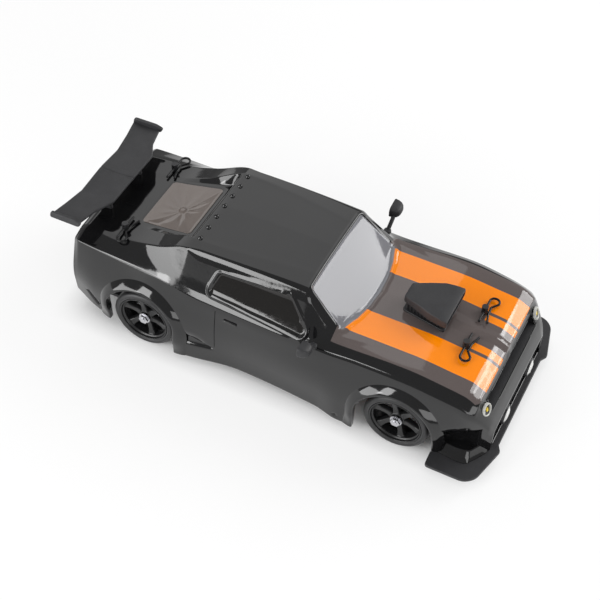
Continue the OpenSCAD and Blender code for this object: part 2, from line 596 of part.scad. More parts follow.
// Steel pins: arm hinges and the lay gear's shaft
module hinge_pins() color([0.65, 0.65, 0.67]) {
    both() for (e = ends) for (h = [[lower_half, pivot_low], [upper_half, pivot_high]]) {
        reach = h[0] + side_gap + lug_w;
        bar_x(e[1] - reach, e[1] + reach, pivot_in, h[1], pin_r);
    }
    bar_y(case_right, case_left, lay_x, axle_z, lay_pin_r);
}

// Involute spur gear in the XZ plane, from y0 to y1, with a tooth or a gap facing the given angle
pressure = 20;
backlash = 0.16;
function involute(base, r) = let (a = acos(base / r)) tan(a) * 180 / PI - a;
function flank_angle(n, m, r) =
    let (pitch = n * m / 2, base = pitch * cos(pressure))
    90 / n - backlash / pitch * 45 / PI + involute(base, pitch) - involute(base, max(r, base));
function tooth(n, m, i) =
    let (pitch = n * m / 2, root = pitch - 1.25 * m, tip = pitch + m, at = i * 360 / n,
         rs = [root, max(root + 0.02, pitch * cos(pressure)), pitch, (pitch + tip) / 2, tip])
    concat([for (r = rs) let (a = at - flank_angle(n, m, r)) r * [cos(a), sin(a)]],
           [for (k = [4 : -1 : 0]) let (r = rs[k], a = at + flank_angle(n, m, r)) r * [cos(a), sin(a)]]);
module gear(n, m, x, y0, y1, turn)
    translate([x, y1, axle_z]) rotate([90, 0, 0]) rotate([0, 0, turn]) linear_extrude(y1 - y0)
        polygon([for (i = [0 : n - 1]) each tooth(n, m, i)]);

// Spool: gear and two slotted drive cups on one locked axle
cup_r = 4.4;
cup_bore = 2.75;
cup_slot = 2;
cup_end = 16.4;
cup_back = case_left + 1.5;
module cup_cut(y0, y1, x) {
    bar_y(y0, y1, x, axle_z, cup_bore);
    block([x - cup_slot / 2, y0, axle_z - cup_r - 1], [x + cup_slot / 2, y1, axle_z + cup_r + 1]);
}
module drive_spool() color([0.35, 0.35, 0.37]) {
    gear(spool_teeth, coarse_module, rear_x, coarse_y[0], coarse_y[1], 0);
    bar_y(-cup_back, cup_back, rear_x, axle_z, journal_r);
    both() difference() {
        bar_y(case_left + side_gap, cup_end, rear_x, axle_z, cup_r);
        cup_cut(cup_back, cup_end + 1, rear_x);
    }
}
module lay_gear() color([0.85, 0.84, 0.8]) difference() {
    union() {
        gear(lay_teeth, coarse_module, lay_x, coarse_y[0], coarse_y[1], 180 + 180 / lay_teeth);
        gear(spur_teeth, fine_module, lay_x, spur_y[0], spur_y[1], 0);
        bar_y(spur_y[0] - 1, coarse_y[1] - 0.6, lay_x, axle_z, 3);
    }
    bar_y(case_right, case_left, lay_x, axle_z, lay_pin_r + run);
}
shaft_r = 1;
shaft_in = 10;
module motor_pinion() color([0.72, 0.6, 0.3]) {
    gear(pinion_teeth, fine_module, motor_x, spur_y[0], spur_y[1], 180 + 180 / pinion_teeth);
    bar_y(case_right - shaft_in, spur_y[1] + 1, motor_x, axle_z, shaft_r);
}
module motor_can() color([0.6, 0.6, 0.62]) difference() {
    union() {
        bar_y(case_right - motor_l, case_right - seat_gap, motor_x, axle_z, motor_r);
        bar_y(case_right - seat_gap - 1, case_right + 1.5, motor_x, axle_z, 3);
        bar_y(case_right - motor_l - 2, case_right - motor_l, motor_x, axle_z, motor_r - 4);
        for (s = [-1, 1]) block([motor_x + s * 5 - 1.2, case_right - motor_l - 4, axle_z - 0.3],
                                [motor_x + s * 5 + 1.2, case_right - motor_l, axle_z + 0.3]);
    }
    bar_y(case_right - shaft_in - 1, case_right + 3, motor_x, axle_z, shaft_r + run);
}

// Steering servo with its output boss, horn, relay link and tie rods
servo_x = front_x - servo_back;
servo_rear = servo_x + 6 - servo_l;
servo_top = floor_top + 11.5;
horn_z = [servo_top + 1.6, servo_top + 4];
link_z = [horn_z[1] + 0.5, horn_z[1] + 2.9];
ball_z = link_z[1] + 2.2;
ball_r = 2;
stud_r = 1.2;
tie_x = front_x - steer_arm;
rod_in = kingpin_y - (pivot_out - pivot_in);
module steering_servo() color([0.1, 0.1, 0.11]) {
    block([servo_rear, -servo_w / 2, floor_top], [servo_rear + servo_l, servo_w / 2, servo_top]);
    bar_z(servo_top, servo_top + 1.2, servo_x, 0, 5);
    bar_z(servo_top, servo_top + 2.8, servo_x, 0, 2);
    both() block([servo_rear - 3, servo_w / 2 - 4, floor_top], [servo_rear, servo_w / 2, servo_top - 4]);
}
module servo_horn() color([0.85, 0.84, 0.8]) difference() {
    union() {
        bar_z(horn_z[0], horn_z[1], servo_x, 0, 4);
        block([servo_x - steer_arm, -2, horn_z[0]], [servo_x, 2, horn_z[1]]);
        bar_z(horn_z[0], horn_z[1], servo_x - steer_arm, 0, 2.6);
        bar_z(horn_z[0], link_z[1] + 0.6, servo_x - steer_arm, 0, stud_r);
    }
    bar_z(horn_z[0] - 1, servo_top + 2.8 + 0.3, servo_x, 0, 2 + run);
}
module ball_stud(x, y) {
    bar_z(link_z[1] - 0.5, ball_z + 2.4, x, y, stud_r);
    translate([x, y, ball_z]) sphere(ball_r);
}
module steering_link() color([0.12, 0.12, 0.12]) {
    difference() {
        union() {
            block([servo_x - steer_arm, -2, link_z[0]], [tie_x, 2, link_z[1]]);
            bar_z(link_z[0], link_z[1], servo_x - steer_arm, 0, 3);
            block([tie_x - 2, -rod_in, link_z[0]], [tie_x + 2, rod_in, link_z[1]]);
            both() bar_z(link_z[0], link_z[1], tie_x, rod_in, 2.6);
        }
        bar_z(link_z[0] - 1, link_z[1] + 1, servo_x - steer_arm, 0, stud_r + run);
    }
    both() ball_stud(tie_x, rod_in);
}
eye_r = 3.1;
rod_r = 1.2;
module tie_rod(side) color([0.2, 0.2, 0.21]) sided(side) {
    for (y = [rod_in, kingpin_y]) difference() {
        union() {
            bar_z(ball_z - 1.4, ball_z + 1.4, tie_x, y, eye_r);
            bar_x(tie_x - eye_r - 0.4, tie_x + eye_r + 0.4, y, ball_z, rod_r);
        }
        bar_z(ball_z - 3, ball_z + 3, tie_x, y, ball_r + 0.15);
    }
    bar_y(rod_in + eye_r - 0.3, kingpin_y - eye_r + 0.3, tie_x, ball_z, rod_r);
}

// Lower arm: inner barrel on its pin, outer fork with its own pin, and a spring seat
fork_half = 3;
fork_w = 2.2;
fork_room = fork_half + side_gap;
arm_t = 1.4;
pad_top = pivot_low + 2.2;
module lower_arm(x, side) color([0.12, 0.12, 0.12]) sided(side) difference() {
    union() {
        bar_x(x - lower_half, x + lower_half, pivot_in, pivot_low, lug_r);
        block([x - lower_half, pivot_in, pivot_low - arm_t],
              [x + lower_half, pivot_out - 4, pivot_low + arm_t]);
        for (s = [-1, 1]) {
            x0 = x + (s > 0 ? fork_room : -fork_room - fork_w);
            block([x0, pivot_out - 5, pivot_low - arm_t], [x0 + fork_w, pivot_out, pivot_low + arm_t]);
            bar_x(x0, x0 + fork_w, pivot_out, pivot_low, 2.4);
        }
        bar_x(x - fork_half - 2, x + fork_half + 2, pivot_out, pivot_low, pin_r);
        bar_z(pivot_low - arm_t, pad_top, x + spring_fore, spring_y, seat_r);
        block([x, spring_y - seat_r, pivot_low - arm_t],
              [x + spring_fore, spring_y + seat_r, pivot_low + arm_t]);
        bar_z(pad_top, pad_top + peg_h, x + spring_fore, spring_y, peg_r);
    }
    bar_x(x - lower_half - 1, x + lower_half + 1, pivot_in, pivot_low, pin_r + run);
    block([x - fork_room, pivot_out - 4, pivot_low - 4], [x + fork_room, pivot_out - 3.2, pivot_low + 4]);
}
// Upper link: a rod between two barrels
module upper_link(x, side) color([0.14, 0.14, 0.15]) sided(side) difference() {
    union() {
        for (y = [pivot_in, pivot_out]) bar_x(x - upper_half, x + upper_half, y, pivot_high, 2.4);
        bar_y(pivot_in, pivot_out, x, pivot_high, 1.4);
    }
    for (y = [pivot_in, pivot_out])
        bar_x(x - upper_half - 1, x + upper_half + 1, y, pivot_high, pin_r + run);
}
// Ears that take an upper link's outer barrel between them, with a pin, and a boss for the lower fork
module carrier_hinges(x, y1) {
    for (s = [-1, 1]) {
        x0 = x + (s > 0 ? upper_half + side_gap : -upper_half - side_gap - 1.8);
        bar_x(x0, x0 + 1.8, pivot_out, pivot_high, 2.2);
        block([x0, pivot_out, pivot_high - 4.8], [x0 + 1.8, y1, pivot_high + 1]);
        block([x0, pivot_out - 1.2, pivot_high - 4.8], [x0 + 1.8, pivot_out, pivot_high]);
    }
    bar_x(x - upper_half - 2, x + upper_half + 2, pivot_out, pivot_high, pin_r);
}
module fork_boss(x, y1) difference() {
    union() {
        bar_x(x - fork_half, x + fork_half, pivot_out, pivot_low, 2.3);
        block([x - fork_half, pivot_out - 1.2, pivot_low], [x + fork_half, y1, pivot_low + 4.4]);
    }
    bar_x(x - fork_half - 1, x + fork_half + 1, pivot_out, pivot_low, pin_r + run);
}
// Front carrier: a C with a kingpin stub at top and bottom
c_low = [pivot_low + 2.4, pivot_low + 4.4];
c_high = [pivot_high - 4.8, pivot_high - 2.6];
c_half = 4.1;
king_r = 1.25;
stub = 2.4;
module front_carrier(x, side) color([0.16, 0.16, 0.17]) sided(side) {
    block([x - c_half, pivot_out - 1.2, c_low[0]], [x + c_half, pivot_out + 1.2, c_high[1]]);
    for (z = [c_low, c_high]) {
        block([x - c_half, pivot_out, z[0]], [x + c_half, kingpin_y, z[1]]);
        bar_z(z[0], z[1], x, kingpin_y, c_half);
    }
    bar_z(c_low[1] - 0.1, c_low[1] + stub, x, kingpin_y, king_r);
    bar_z(c_high[0] - stub, c_high[0] + 0.1, x, kingpin_y, king_r);
    carrier_hinges(x, pivot_out + 1.2);
    fork_boss(x, pivot_out + 1.2);
}
// Knuckle: a block on the kingpins, bored for the axle, with a steering arm behind
boss_end = hub_face - 4;
module knuckle(side) color([0.14, 0.14, 0.15]) sided(side) {
    z0 = c_low[1] + side_gap;
    z1 = c_high[0] - side_gap;
    difference() {
        union() {
            block([front_x - 4, kingpin_y - 3, z0], [front_x + 4, kingpin_y + 3, z1]);
            bar_y(kingpin_y, boss_end, front_x, axle_z, 4.6);
            block([tie_x, kingpin_y - 2.2, link_z[0]], [front_x - 3, kingpin_y + 2.2, link_z[1]]);
            bar_z(link_z[0], link_z[1], tie_x, kingpin_y, 2.4);
        }
        bar_y(kingpin_y - 4, boss_end + 1, front_x, axle_z, axle_r + run);
        bar_z(z0 - 1, z0 + stub, front_x, kingpin_y, king_r + run);
        bar_z(z1 - stub, z1 + 1, front_x, kingpin_y, king_r + run);
    }
    ball_stud(tie_x, kingpin_y);
}
// Rear carrier: a bored boss outboard of the drive cup
axle_cup = [pivot_out - 3.6, pivot_out + 6.2];
module rear_carrier(x, side) color([0.16, 0.16, 0.17]) sided(side) {
    y0 = axle_cup[1] + side_gap;
    difference() {
        union() {
            bar_y(y0, boss_end, x, axle_z, 5);
            block([x - c_half, y0, c_low[0]], [x + c_half, y0 + 2.4, c_high[1]]);
            block([x - fork_half, pivot_out, c_low[0]], [x + fork_half, y0 + 1, c_low[1]]);
            for (s = [-1, 1])
                block([x + s * 3.4 - 0.9, pivot_out, c_high[0]], [x + s * 3.4 + 0.9, y0 + 1, c_high[1]]);
        }
        bar_y(y0 - 1, boss_end + 1, x, axle_z, axle_r + run);
    }
    carrier_hinges(x, pivot_out + 1.2);
    fork_boss(x, pivot_out + 1.2);
}
module hub_carrier(x, side) if (x == front_x) front_carrier(x, side); else rear_carrier(x, side);

// Dogbone: a shaft with a ball and a cross pin at each end
ball_in = pivot_in + 0.6;
ball_out = pivot_out + 0.6;
cross_r = 0.8;
cross_half = 3.7;
module dogbone(side) color([0.5, 0.5, 0.52]) sided(side) {
    bar_y(ball_in, ball_out, rear_x, axle_z, 1.4);
    for (y = [ball_in, ball_out]) {
        translate([rear_x, y, axle_z]) sphere(2.35);
        bar_z(axle_z - cross_half, axle_z + cross_half, rear_x, y, cross_r);
    }
}

// Wheel axle with its drive hexagon, retainer and flanged nut
hex_flats = 7;
nut_flange = 3.8;
module axle(x, side) color([0.78, 0.78, 0.8]) sided(side) {
    start = x == front_x ? kingpin_y - 3 : axle_cup[1];
    bar_y(start - 1.2, hub_end + 3.4, x, axle_z, axle_r);
    hex_y(boss_end + side_gap, hub_face, x, axle_z, hex_flats);
    if (x == front_x) bar_y(start - 1.1, start - side_gap / 2, x, axle_z, 2.4);
    else difference() {
        bar_y(axle_cup[0], axle_cup[1], x, axle_z, cup_r);
        cup_cut(axle_cup[0] - 1, axle_cup[1] - 1.2, x);
    }
    bar_y(hub_end, hub_end + 1, x, axle_z, nut_flange);
    hex_y(hub_end, hub_end + 2.8, x, axle_z, nut_flats);
}
// Rim: a barrel, a hub and dished spokes
module rim(x, side) color([0.06, 0.06, 0.065]) sided(side) difference() {
    union() {
        difference() {
            bar_y(wheel_in + 0.5, wheel_out - 0.4, x, axle_z, rim_r);
            bar_y(wheel_in - 1, wheel_out + 1, x, axle_z, rim_r - rim_wall);
        }
        difference() {
            bar_y(hub_face + 1, wheel_out - 1.2, x, axle_z, rim_r);
            bar_y(hub_face - 1, wheel_out + 1, x, axle_z, rim_r - rim_wall - 1);
        }
        bar_y(hub_face, hub_end, x, axle_z, 5);
        for (i = [0 : spokes - 1]) translate([x, 0, axle_z]) rotate([0, i * 360 / spokes + 15, 0])
            block([0, hub_face + 2.5, -2.2], [rim_r - 1, hub_end - 0.6, 2.2]);
    }
    bar_y(hub_face - 1, hub_end + 1, x, axle_z, axle_r + run);
}
// Hard drift tyre with rounded shoulders
shoulder_r = 2;
module tyre(x, side) color([0.05, 0.05, 0.05]) sided(side)
    translate([x, wheel_in, axle_z]) rotate([-90, 0, 0]) rotate_extrude() difference() {
        union() {
            translate([rim_r, 0]) square([tyre_r - rim_r - shoulder_r, tyre_w]);
            translate([rim_r, shoulder_r]) square([tyre_r - rim_r, tyre_w - 2 * shoulder_r]);
            for (v = [shoulder_r, tyre_w - shoulder_r])
                translate([tyre_r - shoulder_r, v]) circle(shoulder_r);
        }
        translate([rim_r - 2, -1]) square([2, tyre_w + 2]);
    }

// Coil spring: one tube along a helix, upright for one wire diameter at each end
rings_per_curl = 8;
wire_sides = 6;
spring_z = [pad_top + seat_gap, beam_z - seat_gap];
coil_pitch = (spring_z[1] - spring_z[0] - 2 * spring_wire) / curls;
function coil_point(i) =
    let (a = i * 360 / rings_per_curl)
    [spring_r * cos(a), spring_r * sin(a), spring_z[0] + spring_wire + i * coil_pitch / rings_per_curl];
coil_path = concat([[spring_r, 0, spring_z[0]]], [for (i = [0 : curls * rings_per_curl]) coil_point(i)],
                   [[spring_r, 0, spring_z[1]]]);
function unit(v) = v / norm(v);
function heading(i) =
    i == 0 || i == len(coil_path) - 1 ? [0, 0, 1] :
    unit(unit(coil_path[i + 1] - coil_path[i]) + unit(coil_path[i] - coil_path[i - 1]));
function wire_ring(i) =
    let (t = heading(i), out = unit([coil_path[i][0], coil_path[i][1], 0]), side = unit(cross(t, out)),
         far = cross(side, t))
    [for (k = [0 : wire_sides - 1])
        let (a = k * 360 / wire_sides) coil_path[i] + spring_wire / 2 * (cos(a) * far + sin(a) * side)];
coil_gap = min([for (i = [0 : (curls - 1) * rings_per_curl])
    min([for (j = [0, 1]) norm(coil_point(i) - coil_point(i + rings_per_curl - 1 + j))])]) - spring_wire;
echo(least_gap_between_spring_curls = coil_gap);
module spring(x, side) color([0.75, 0.1, 0.08]) sided(side)
    translate([x + spring_fore, spring_y, 0]) loft([for (i = [0 : len(coil_path) - 1]) wire_ring(i)]);

// Battery pack and speed controller in their bays, and the power switch under the floor
battery = [68, 27, 16];
controller = [44, 26, 12];
fins = 8;
bay_gap = 0.5;
slide = (knob[0] + switch_travel) / 2;
battery_x = rear_x + 47;
module battery_pack() color([0.16, 0.2, 0.32])
    block([battery_x, bay_y - 1.5 - bay_gap - battery[1], floor_top],
          [battery_x + battery[0], bay_y - 1.5 - bay_gap, floor_top + battery[2]]);
module speed_controller() color([0.15, 0.15, 0.16]) difference() {
    union() {
        translate([switch_at[0], switch_at[1], floor_top]) {
            translate([-controller[0] / 2, -controller[1] / 2, 0]) cube(controller);
            for (i = [0 : fins - 1])
                translate([-18 + i * 2.4, -10, controller[2] - 0.1]) cube([1.2, 20, 3]);
        }
    }
    translate([switch_at[0], switch_at[1], floor_top]) block([-slide - 1.9, -3, -1], [slide + 1.9, 3, 2]);
}
module power_switch() color([0.85, 0.85, 0.83])
    translate([switch_at[0] - switch_travel / 2, switch_at[1], 0]) {
        block([-knob[0] / 2 - 1.5, -2.4, floor_top + 0.2], [knob[0] / 2 + 1.5, 2.4, floor_top + 1.6]);
        block([-knob[0] / 2, -knob[1] / 2, floor_z + 0.2], [knob[0] / 2, knob[1] / 2, floor_top + 1]);
    }

body_shell();
front_splitter();
rear_wing();
hood_scoop();
door_mirrors();
lamp_units();
body_posts();
chassis_tub();
front_bulkhead();
gearbox_case();
motor_can();
steering_servo();
battery_pack();
speed_controller();
hinge_pins();
chassis_screws();
servo_horn();
steering_link();
drive_spool();
lay_gear();
motor_pinion();
power_switch();
for (s = sides) {
    knuckle(s[1]);
    tie_rod(s[1]);
    dogbone(s[1]);
}
for (i = [0, 1]) for (s = sides) {
    corner = str(ends[i][0], "_", s[0]);
    x = ends[i][1];
    lower_arm(x, s[1]);
    upper_link(x, s[1]);
    hub_carrier(x, s[1]);
    rim(x, s[1]);
    tyre(x, s[1]);
    axle(x, s[1]);
    spring(x, s[1]);
    sided(s[1]) body_clip(post_at[i][1]);
}
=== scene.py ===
# Looks of the drift car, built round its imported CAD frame. Shapes are worked out in millimetres.
import math

import bmesh
import bpy
import numpy as np
from mathutils import Matrix, Vector


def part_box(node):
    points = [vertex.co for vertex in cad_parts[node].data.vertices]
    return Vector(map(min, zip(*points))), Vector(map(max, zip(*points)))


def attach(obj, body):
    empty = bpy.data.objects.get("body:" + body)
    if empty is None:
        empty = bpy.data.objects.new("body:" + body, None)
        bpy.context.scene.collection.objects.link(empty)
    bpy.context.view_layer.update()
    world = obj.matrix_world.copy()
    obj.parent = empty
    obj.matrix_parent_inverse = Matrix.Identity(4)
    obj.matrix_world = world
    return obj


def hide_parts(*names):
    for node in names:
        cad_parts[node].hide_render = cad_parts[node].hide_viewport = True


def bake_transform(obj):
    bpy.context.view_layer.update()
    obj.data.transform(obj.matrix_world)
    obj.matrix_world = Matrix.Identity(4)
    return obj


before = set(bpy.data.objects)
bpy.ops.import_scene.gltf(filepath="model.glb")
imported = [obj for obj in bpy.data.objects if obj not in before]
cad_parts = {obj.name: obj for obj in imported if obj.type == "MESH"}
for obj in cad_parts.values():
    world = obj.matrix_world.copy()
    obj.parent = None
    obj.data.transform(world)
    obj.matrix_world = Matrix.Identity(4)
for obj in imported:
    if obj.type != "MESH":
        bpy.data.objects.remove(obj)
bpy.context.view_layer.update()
mm = 0.001
corners = [(f"{end}_{side}", sign) for end in ("front", "rear")
           for side, sign in (("left", 1), ("right", -1))]
print("stage: frame loaded,", len(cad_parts), "nodes")


def boxMm(node):
    low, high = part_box(node)
    return np.array(low) / mm, np.array(high) / mm


def middle(node):
    low, high = boxMm(node)
    return (low + high) / 2


# stations along the car, from the CAD pieces, and heights of its main lines
shellLow, shellHigh = boxMm("body_shell")
tyreLow, tyreHigh = boxMm("front_left_tyre")
tyreR = (tyreHigh[2] - tyreLow[2]) / 2
frontX = middle("front_left_tyre")[0]
rearX = middle("rear_left_tyre")[0]
axleZ = middle("front_left_tyre")[2]
noseX = shellHigh[0]
tailX = shellLow[0]
lipX = noseX - 11.5  # front edge of the bonnet
cowlX = frontX - 40  # foot of the windscreen
headerX = frontX - 70  # top of the windscreen
crownX = rearX + 26  # back of the roof
glassX = rearX + 19  # top of the rear window
deckX = rearX - 20
archY = tyreHigh[1] + 3.5
roofZ = shellHigh[2]
deckZ = 67
hoodZ = 63
beltZ = 56.5
noseZ = 14.2
sillZ = 7

# materials: every finish is one node tree, with its colour, gloss and grain from noise in real size


def newFinish(name):
    material = bpy.data.materials.new(name)
    material.use_nodes = True
    tree = material.node_tree
    return material, tree, tree.nodes["Principled BSDF"]


def addNode(tree, kind, links=(), **values):
    node = tree.nodes.new(kind)
    for key, value in values.items():
        setattr(node, key, value)
    for socket, source in links:
        if hasattr(source, "is_linked"):
            tree.links.new(source, node.inputs[socket])
        else:
            node.inputs[socket].default_value = source
    return node


def objectPoint(tree):
    return addNode(tree, "ShaderNodeTexCoord").outputs["Object"]


def noise(tree, point, scale, detail=3):
    links = (("Vector", point), ("Scale", scale), ("Detail", detail))
    return addNode(tree, "ShaderNodeTexNoise", links).outputs["Fac"]


def between(tree, value, low, high, fromLow=0.3, fromHigh=0.7):
    links = (("Value", value), ("From Min", fromLow), ("From Max", fromHigh),
             ("To Min", low), ("To Max", high))
    return addNode(tree, "ShaderNodeMapRange", links).outputs["Result"]


def combine(tree, operation, first, second=0.0, clamp=False):
    links = ((0, first), (1, second))
    return addNode(tree, "ShaderNodeMath", links, operation=operation, use_clamp=clamp).outputs[0]


def mixColour(tree, factor, first, second):
    links = ((0, factor), (6, first), (7, second))
    return addNode(tree, "ShaderNodeMix", links, data_type="RGBA").outputs[2]


def srgb(*values):
    linear = [c / 255 / 12.92 if c <= 10 else ((c / 255 + 0.055) / 1.055) ** 2.4 for c in values]
    return (*linear, 1)


def shaded(colour, share):
    return (*[min(1, c * share) for c in colour[:3]], 1)


def addBump(tree, shader, height, depth):
    links = (("Height", height), ("Distance", depth), ("Strength", 1.0))
    node = addNode(tree, "ShaderNodeBump", links)
    tree.links.new(node.outputs["Normal"], shader.inputs["Normal"])


def surfaceFinish(name, colour, rough, metal=0.0, mottle=0.12, patch=120, grain=2500, depth=0.00003,
                  ior=None):
    # patch is the scale of the tint's noise, grain that of the gloss and the bump
    material, tree, shader = newFinish(name)
    point = objectPoint(tree)
    broad = noise(tree, point, patch)
    fine = noise(tree, point, grain, 2)
    dark, pale = shaded(colour, 1 - mottle), shaded(colour, 1 + mottle)
    tree.links.new(mixColour(tree, between(tree, broad, 0, 1), dark, pale), shader.inputs["Base Color"])
    gloss = between(tree, fine, rough * 0.8, min(1, rough * 1.25))
    tree.links.new(gloss, shader.inputs["Roughness"])
    shader.inputs["Metallic"].default_value = metal
    if ior:
        shader.inputs["IOR"].default_value = ior
    addBump(tree, shader, fine, depth)
    return material


shellBlack = srgb(15, 15, 16)
shellIor = 1.6
finishLooks = {
    "satinPlastic": dict(colour=srgb(38, 38, 40), rough=0.42, patch=200, depth=0.00002),
    "nylon": dict(colour=srgb(46, 46, 48), rough=0.5, patch=90, depth=0.00004),
    "mattePlastic": dict(colour=srgb(44, 44, 46), rough=0.55, patch=140, grain=3500),
    "wheelPlastic": dict(colour=srgb(26, 26, 27), rough=0.3, patch=160, depth=0.00001),
    "hardTyre": dict(colour=srgb(44, 44, 45), rough=0.42, patch=220, grain=1800, depth=0.00002),
    "shellGloss": dict(colour=shellBlack, rough=0.07, patch=60, grain=260, depth=0.00002, ior=shellIor),
    "steel": dict(colour=srgb(200, 200, 204), rough=0.2, metal=1.0, mottle=0.06, patch=300, grain=900,
                  depth=0.000004),
    "zinc": dict(colour=srgb(176, 178, 182), rough=0.3, metal=1.0, mottle=0.08, patch=200, grain=3000,
                 depth=0.000006),
    "darkSteel": dict(colour=srgb(120, 120, 124), rough=0.34, metal=1.0, mottle=0.1, patch=200, grain=3000,
                      depth=0.000006),
    "brass": dict(colour=srgb(196, 160, 84), rough=0.3, metal=1.0, mottle=0.08, patch=200, grain=3000,
                  depth=0.000006),
    "blackWire": dict(colour=srgb(22, 22, 23), rough=0.28, metal=0.4, mottle=0.1, patch=300,
                      depth=0.000008),
    "springRed": dict(colour=srgb(176, 34, 26), rough=0.34, metal=0.1, mottle=0.1, patch=260,
                      depth=0.00001),
    "whiteNylon": dict(colour=srgb(222, 220, 210), rough=0.45, mottle=0.05, grain=2200, depth=0.00002),
    "shrinkWrap": dict(colour=srgb(44, 58, 96), rough=0.32, mottle=0.1, patch=70, grain=1200,
                       depth=0.00008),
    "frostedLens": dict(colour=srgb(225, 225, 222), rough=0.3, mottle=0.04, patch=180, grain=1500),
    "ringWhite": dict(colour=srgb(205, 205, 200), rough=0.25, mottle=0.04, patch=180, grain=1500,
                      depth=0.00001),
    "chipYellow": dict(colour=srgb(226, 196, 30), rough=0.35, mottle=0.06, patch=400, depth=0.00002),
}
finishes = {name: surfaceFinish(name, **look) for name, look in finishLooks.items()}
print("stage: finishes made,", len(finishes))

# mesh helpers: a part is a list of points and a list of faces


def addMesh(name, points, faces, smooth=True):
    mesh = bpy.data.meshes.new(name)
    mesh.from_pydata([tuple(np.array(p, float) * mm) for p in points], [], [tuple(f) for f in faces])
    mesh.update()
    piece = bpy.data.objects.new(name, mesh)
    bpy.context.scene.collection.objects.link(piece)
    if smooth:
        mesh.polygons.foreach_set("use_smooth", [True] * len(mesh.polygons))
    return piece


def camel(name):
    first, *rest = name.split("_")
    return first + "".join(word.title() for word in rest)


def joined(parts):
    points, faces = [], []
    for p, f in parts:
        start = len(points)
        points.extend(p)
        faces.extend([[i + start for i in face] for face in f])
    return points, faces


def bothSides(part):
    points, faces = part
    other = [(x, -y, z) for x, y, z in points], [list(reversed(f)) for f in faces]
    return joined([part, other])


def curve(t, start, bend, end):
    return (1 - t) ** 2 * start + 2 * t * (1 - t) * bend + t * t * end


def smooth01(t):
    t = np.clip(t, 0, 1)
    return t * t * (3 - 2 * t)


def quads(index):
    # faces between the neighbours in a grid of point numbers
    return np.stack([index[:-1, :-1], index[1:, :-1], index[1:, 1:], index[:-1, 1:]], -1)


def lofted(rings):
    # closed skin over a row of rings, capped at both ends
    n = len(rings[0])
    points = [p for ring in rings for p in ring]
    faces = [[i * n + k, i * n + (k + 1) % n, (i + 1) * n + (k + 1) % n, (i + 1) * n + k]
             for i in range(len(rings) - 1) for k in range(n)]
    faces += [list(range(n))[::-1], [(len(rings) - 1) * n + k for k in range(n)]]
    return points, faces


def plate(outline, low, high):
    # flat plate in plan, from a list of (x, y)
    return lofted([[(x, y, z) for x, y in outline] for z in (low, high)])


def block(low, high):
    (x0, y0, z0), (x1, y1, z1) = low, high
    return plate([(x0, y0), (x1, y0), (x1, y1), (x0, y1)], z0, z1)


def sweptWire(path, radius, around=12):
    path = np.array(path, float)
    heading = np.gradient(path, axis=0)
    heading /= np.linalg.norm(heading, axis=1)[:, None]
    normal = np.cross(heading[0], (0.0, 0.0, 1.0))
    if np.linalg.norm(normal) < 0.1:
        normal = np.cross(heading[0], (1.0, 0.0, 0.0))
    rings = []
    for at, ahead in zip(path, heading):
        normal = normal - ahead * (normal @ ahead)
        normal /= np.linalg.norm(normal)
        across = np.cross(ahead, normal)
        turns = [2 * math.pi * k / around for k in range(around)]
        rings.append([at + radius * (math.cos(a) * normal + math.sin(a) * across) for a in turns])
    return lofted(rings)


def turned(profile, centre, axis, steps, closed=True):
    # profile: (radius, along) pairs turned about a line through centre
    points, faces = [], []
    n = len(profile)
    for k in range(steps):
        a = 2 * math.pi * k / steps
        for r, s in profile:
            c, d = r * math.cos(a), r * math.sin(a)
            away = {"x": (s, c, d), "y": (d, s, c), "z": (c, d, s)}[axis]
            points.append(tuple(p + q for p, q in zip(centre, away)))
    for k in range(steps):
        m = (k + 1) % steps
        for i in range(n if closed else n - 1):
            j = (i + 1) % n
            faces.append([k * n + i, k * n + j, m * n + j, m * n + i])
    return points, faces


def roundedOutline(outline, radii, steps=6):
    # flat outline with each corner rounded
    out = []
    n = len(outline)
    for i in range(n):
        a, b, c = (np.array(outline[(i + k) % n], float) for k in (-1, 0, 1))
        r = radii[i] if isinstance(radii, (list, tuple)) else radii
        u, v = (a - b) / np.linalg.norm(a - b), (c - b) / np.linalg.norm(c - b)
        r = min(r, np.linalg.norm(a - b) / 2.1, np.linalg.norm(c - b) / 2.1)
        out += [tuple(curve(k / steps, b + u * r, b, b + v * r)) for k in range(steps + 1)]
    return out


def softenEdges(piece, width, segments, angle):
    bevel = piece.modifiers.new("edges", "BEVEL")
    bevel.width = width * mm
    bevel.segments = segments
    bevel.limit_method = "ANGLE"
    bevel.angle_limit = math.radians(angle)
    bevel.harden_normals = False
    piece.data.polygons.foreach_set("use_smooth", [True] * len(piece.data.polygons))
    piece.data.set_sharp_from_angle(angle=math.radians(angle))
    return piece


def thicken(piece, thickness, offset=-1):
    wall = piece.modifiers.new("wall", "SOLIDIFY")
    wall.thickness = thickness * mm
    wall.offset = offset
    return piece


def outward(piece):
    work = bmesh.new()
    work.from_mesh(piece.data)
    bmesh.ops.remove_doubles(work, verts=work.verts, dist=1e-6)
    bmesh.ops.recalc_face_normals(work, faces=work.faces)
    work.to_mesh(piece.data)
    work.free()
    return piece


def solid(name, part, edge, segments=2, angle=40):
    return softenEdges(outward(addMesh(name, *part)), edge, segments, angle)


def fit(piece, material, body="chassis", nodes=()):
    piece.data.materials.append(material)
    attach(piece, body)
    if nodes:
        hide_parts(*nodes)
    return piece


# body shell: the lines of the moulding, sampled finely. Half sections run from the sill to the middle

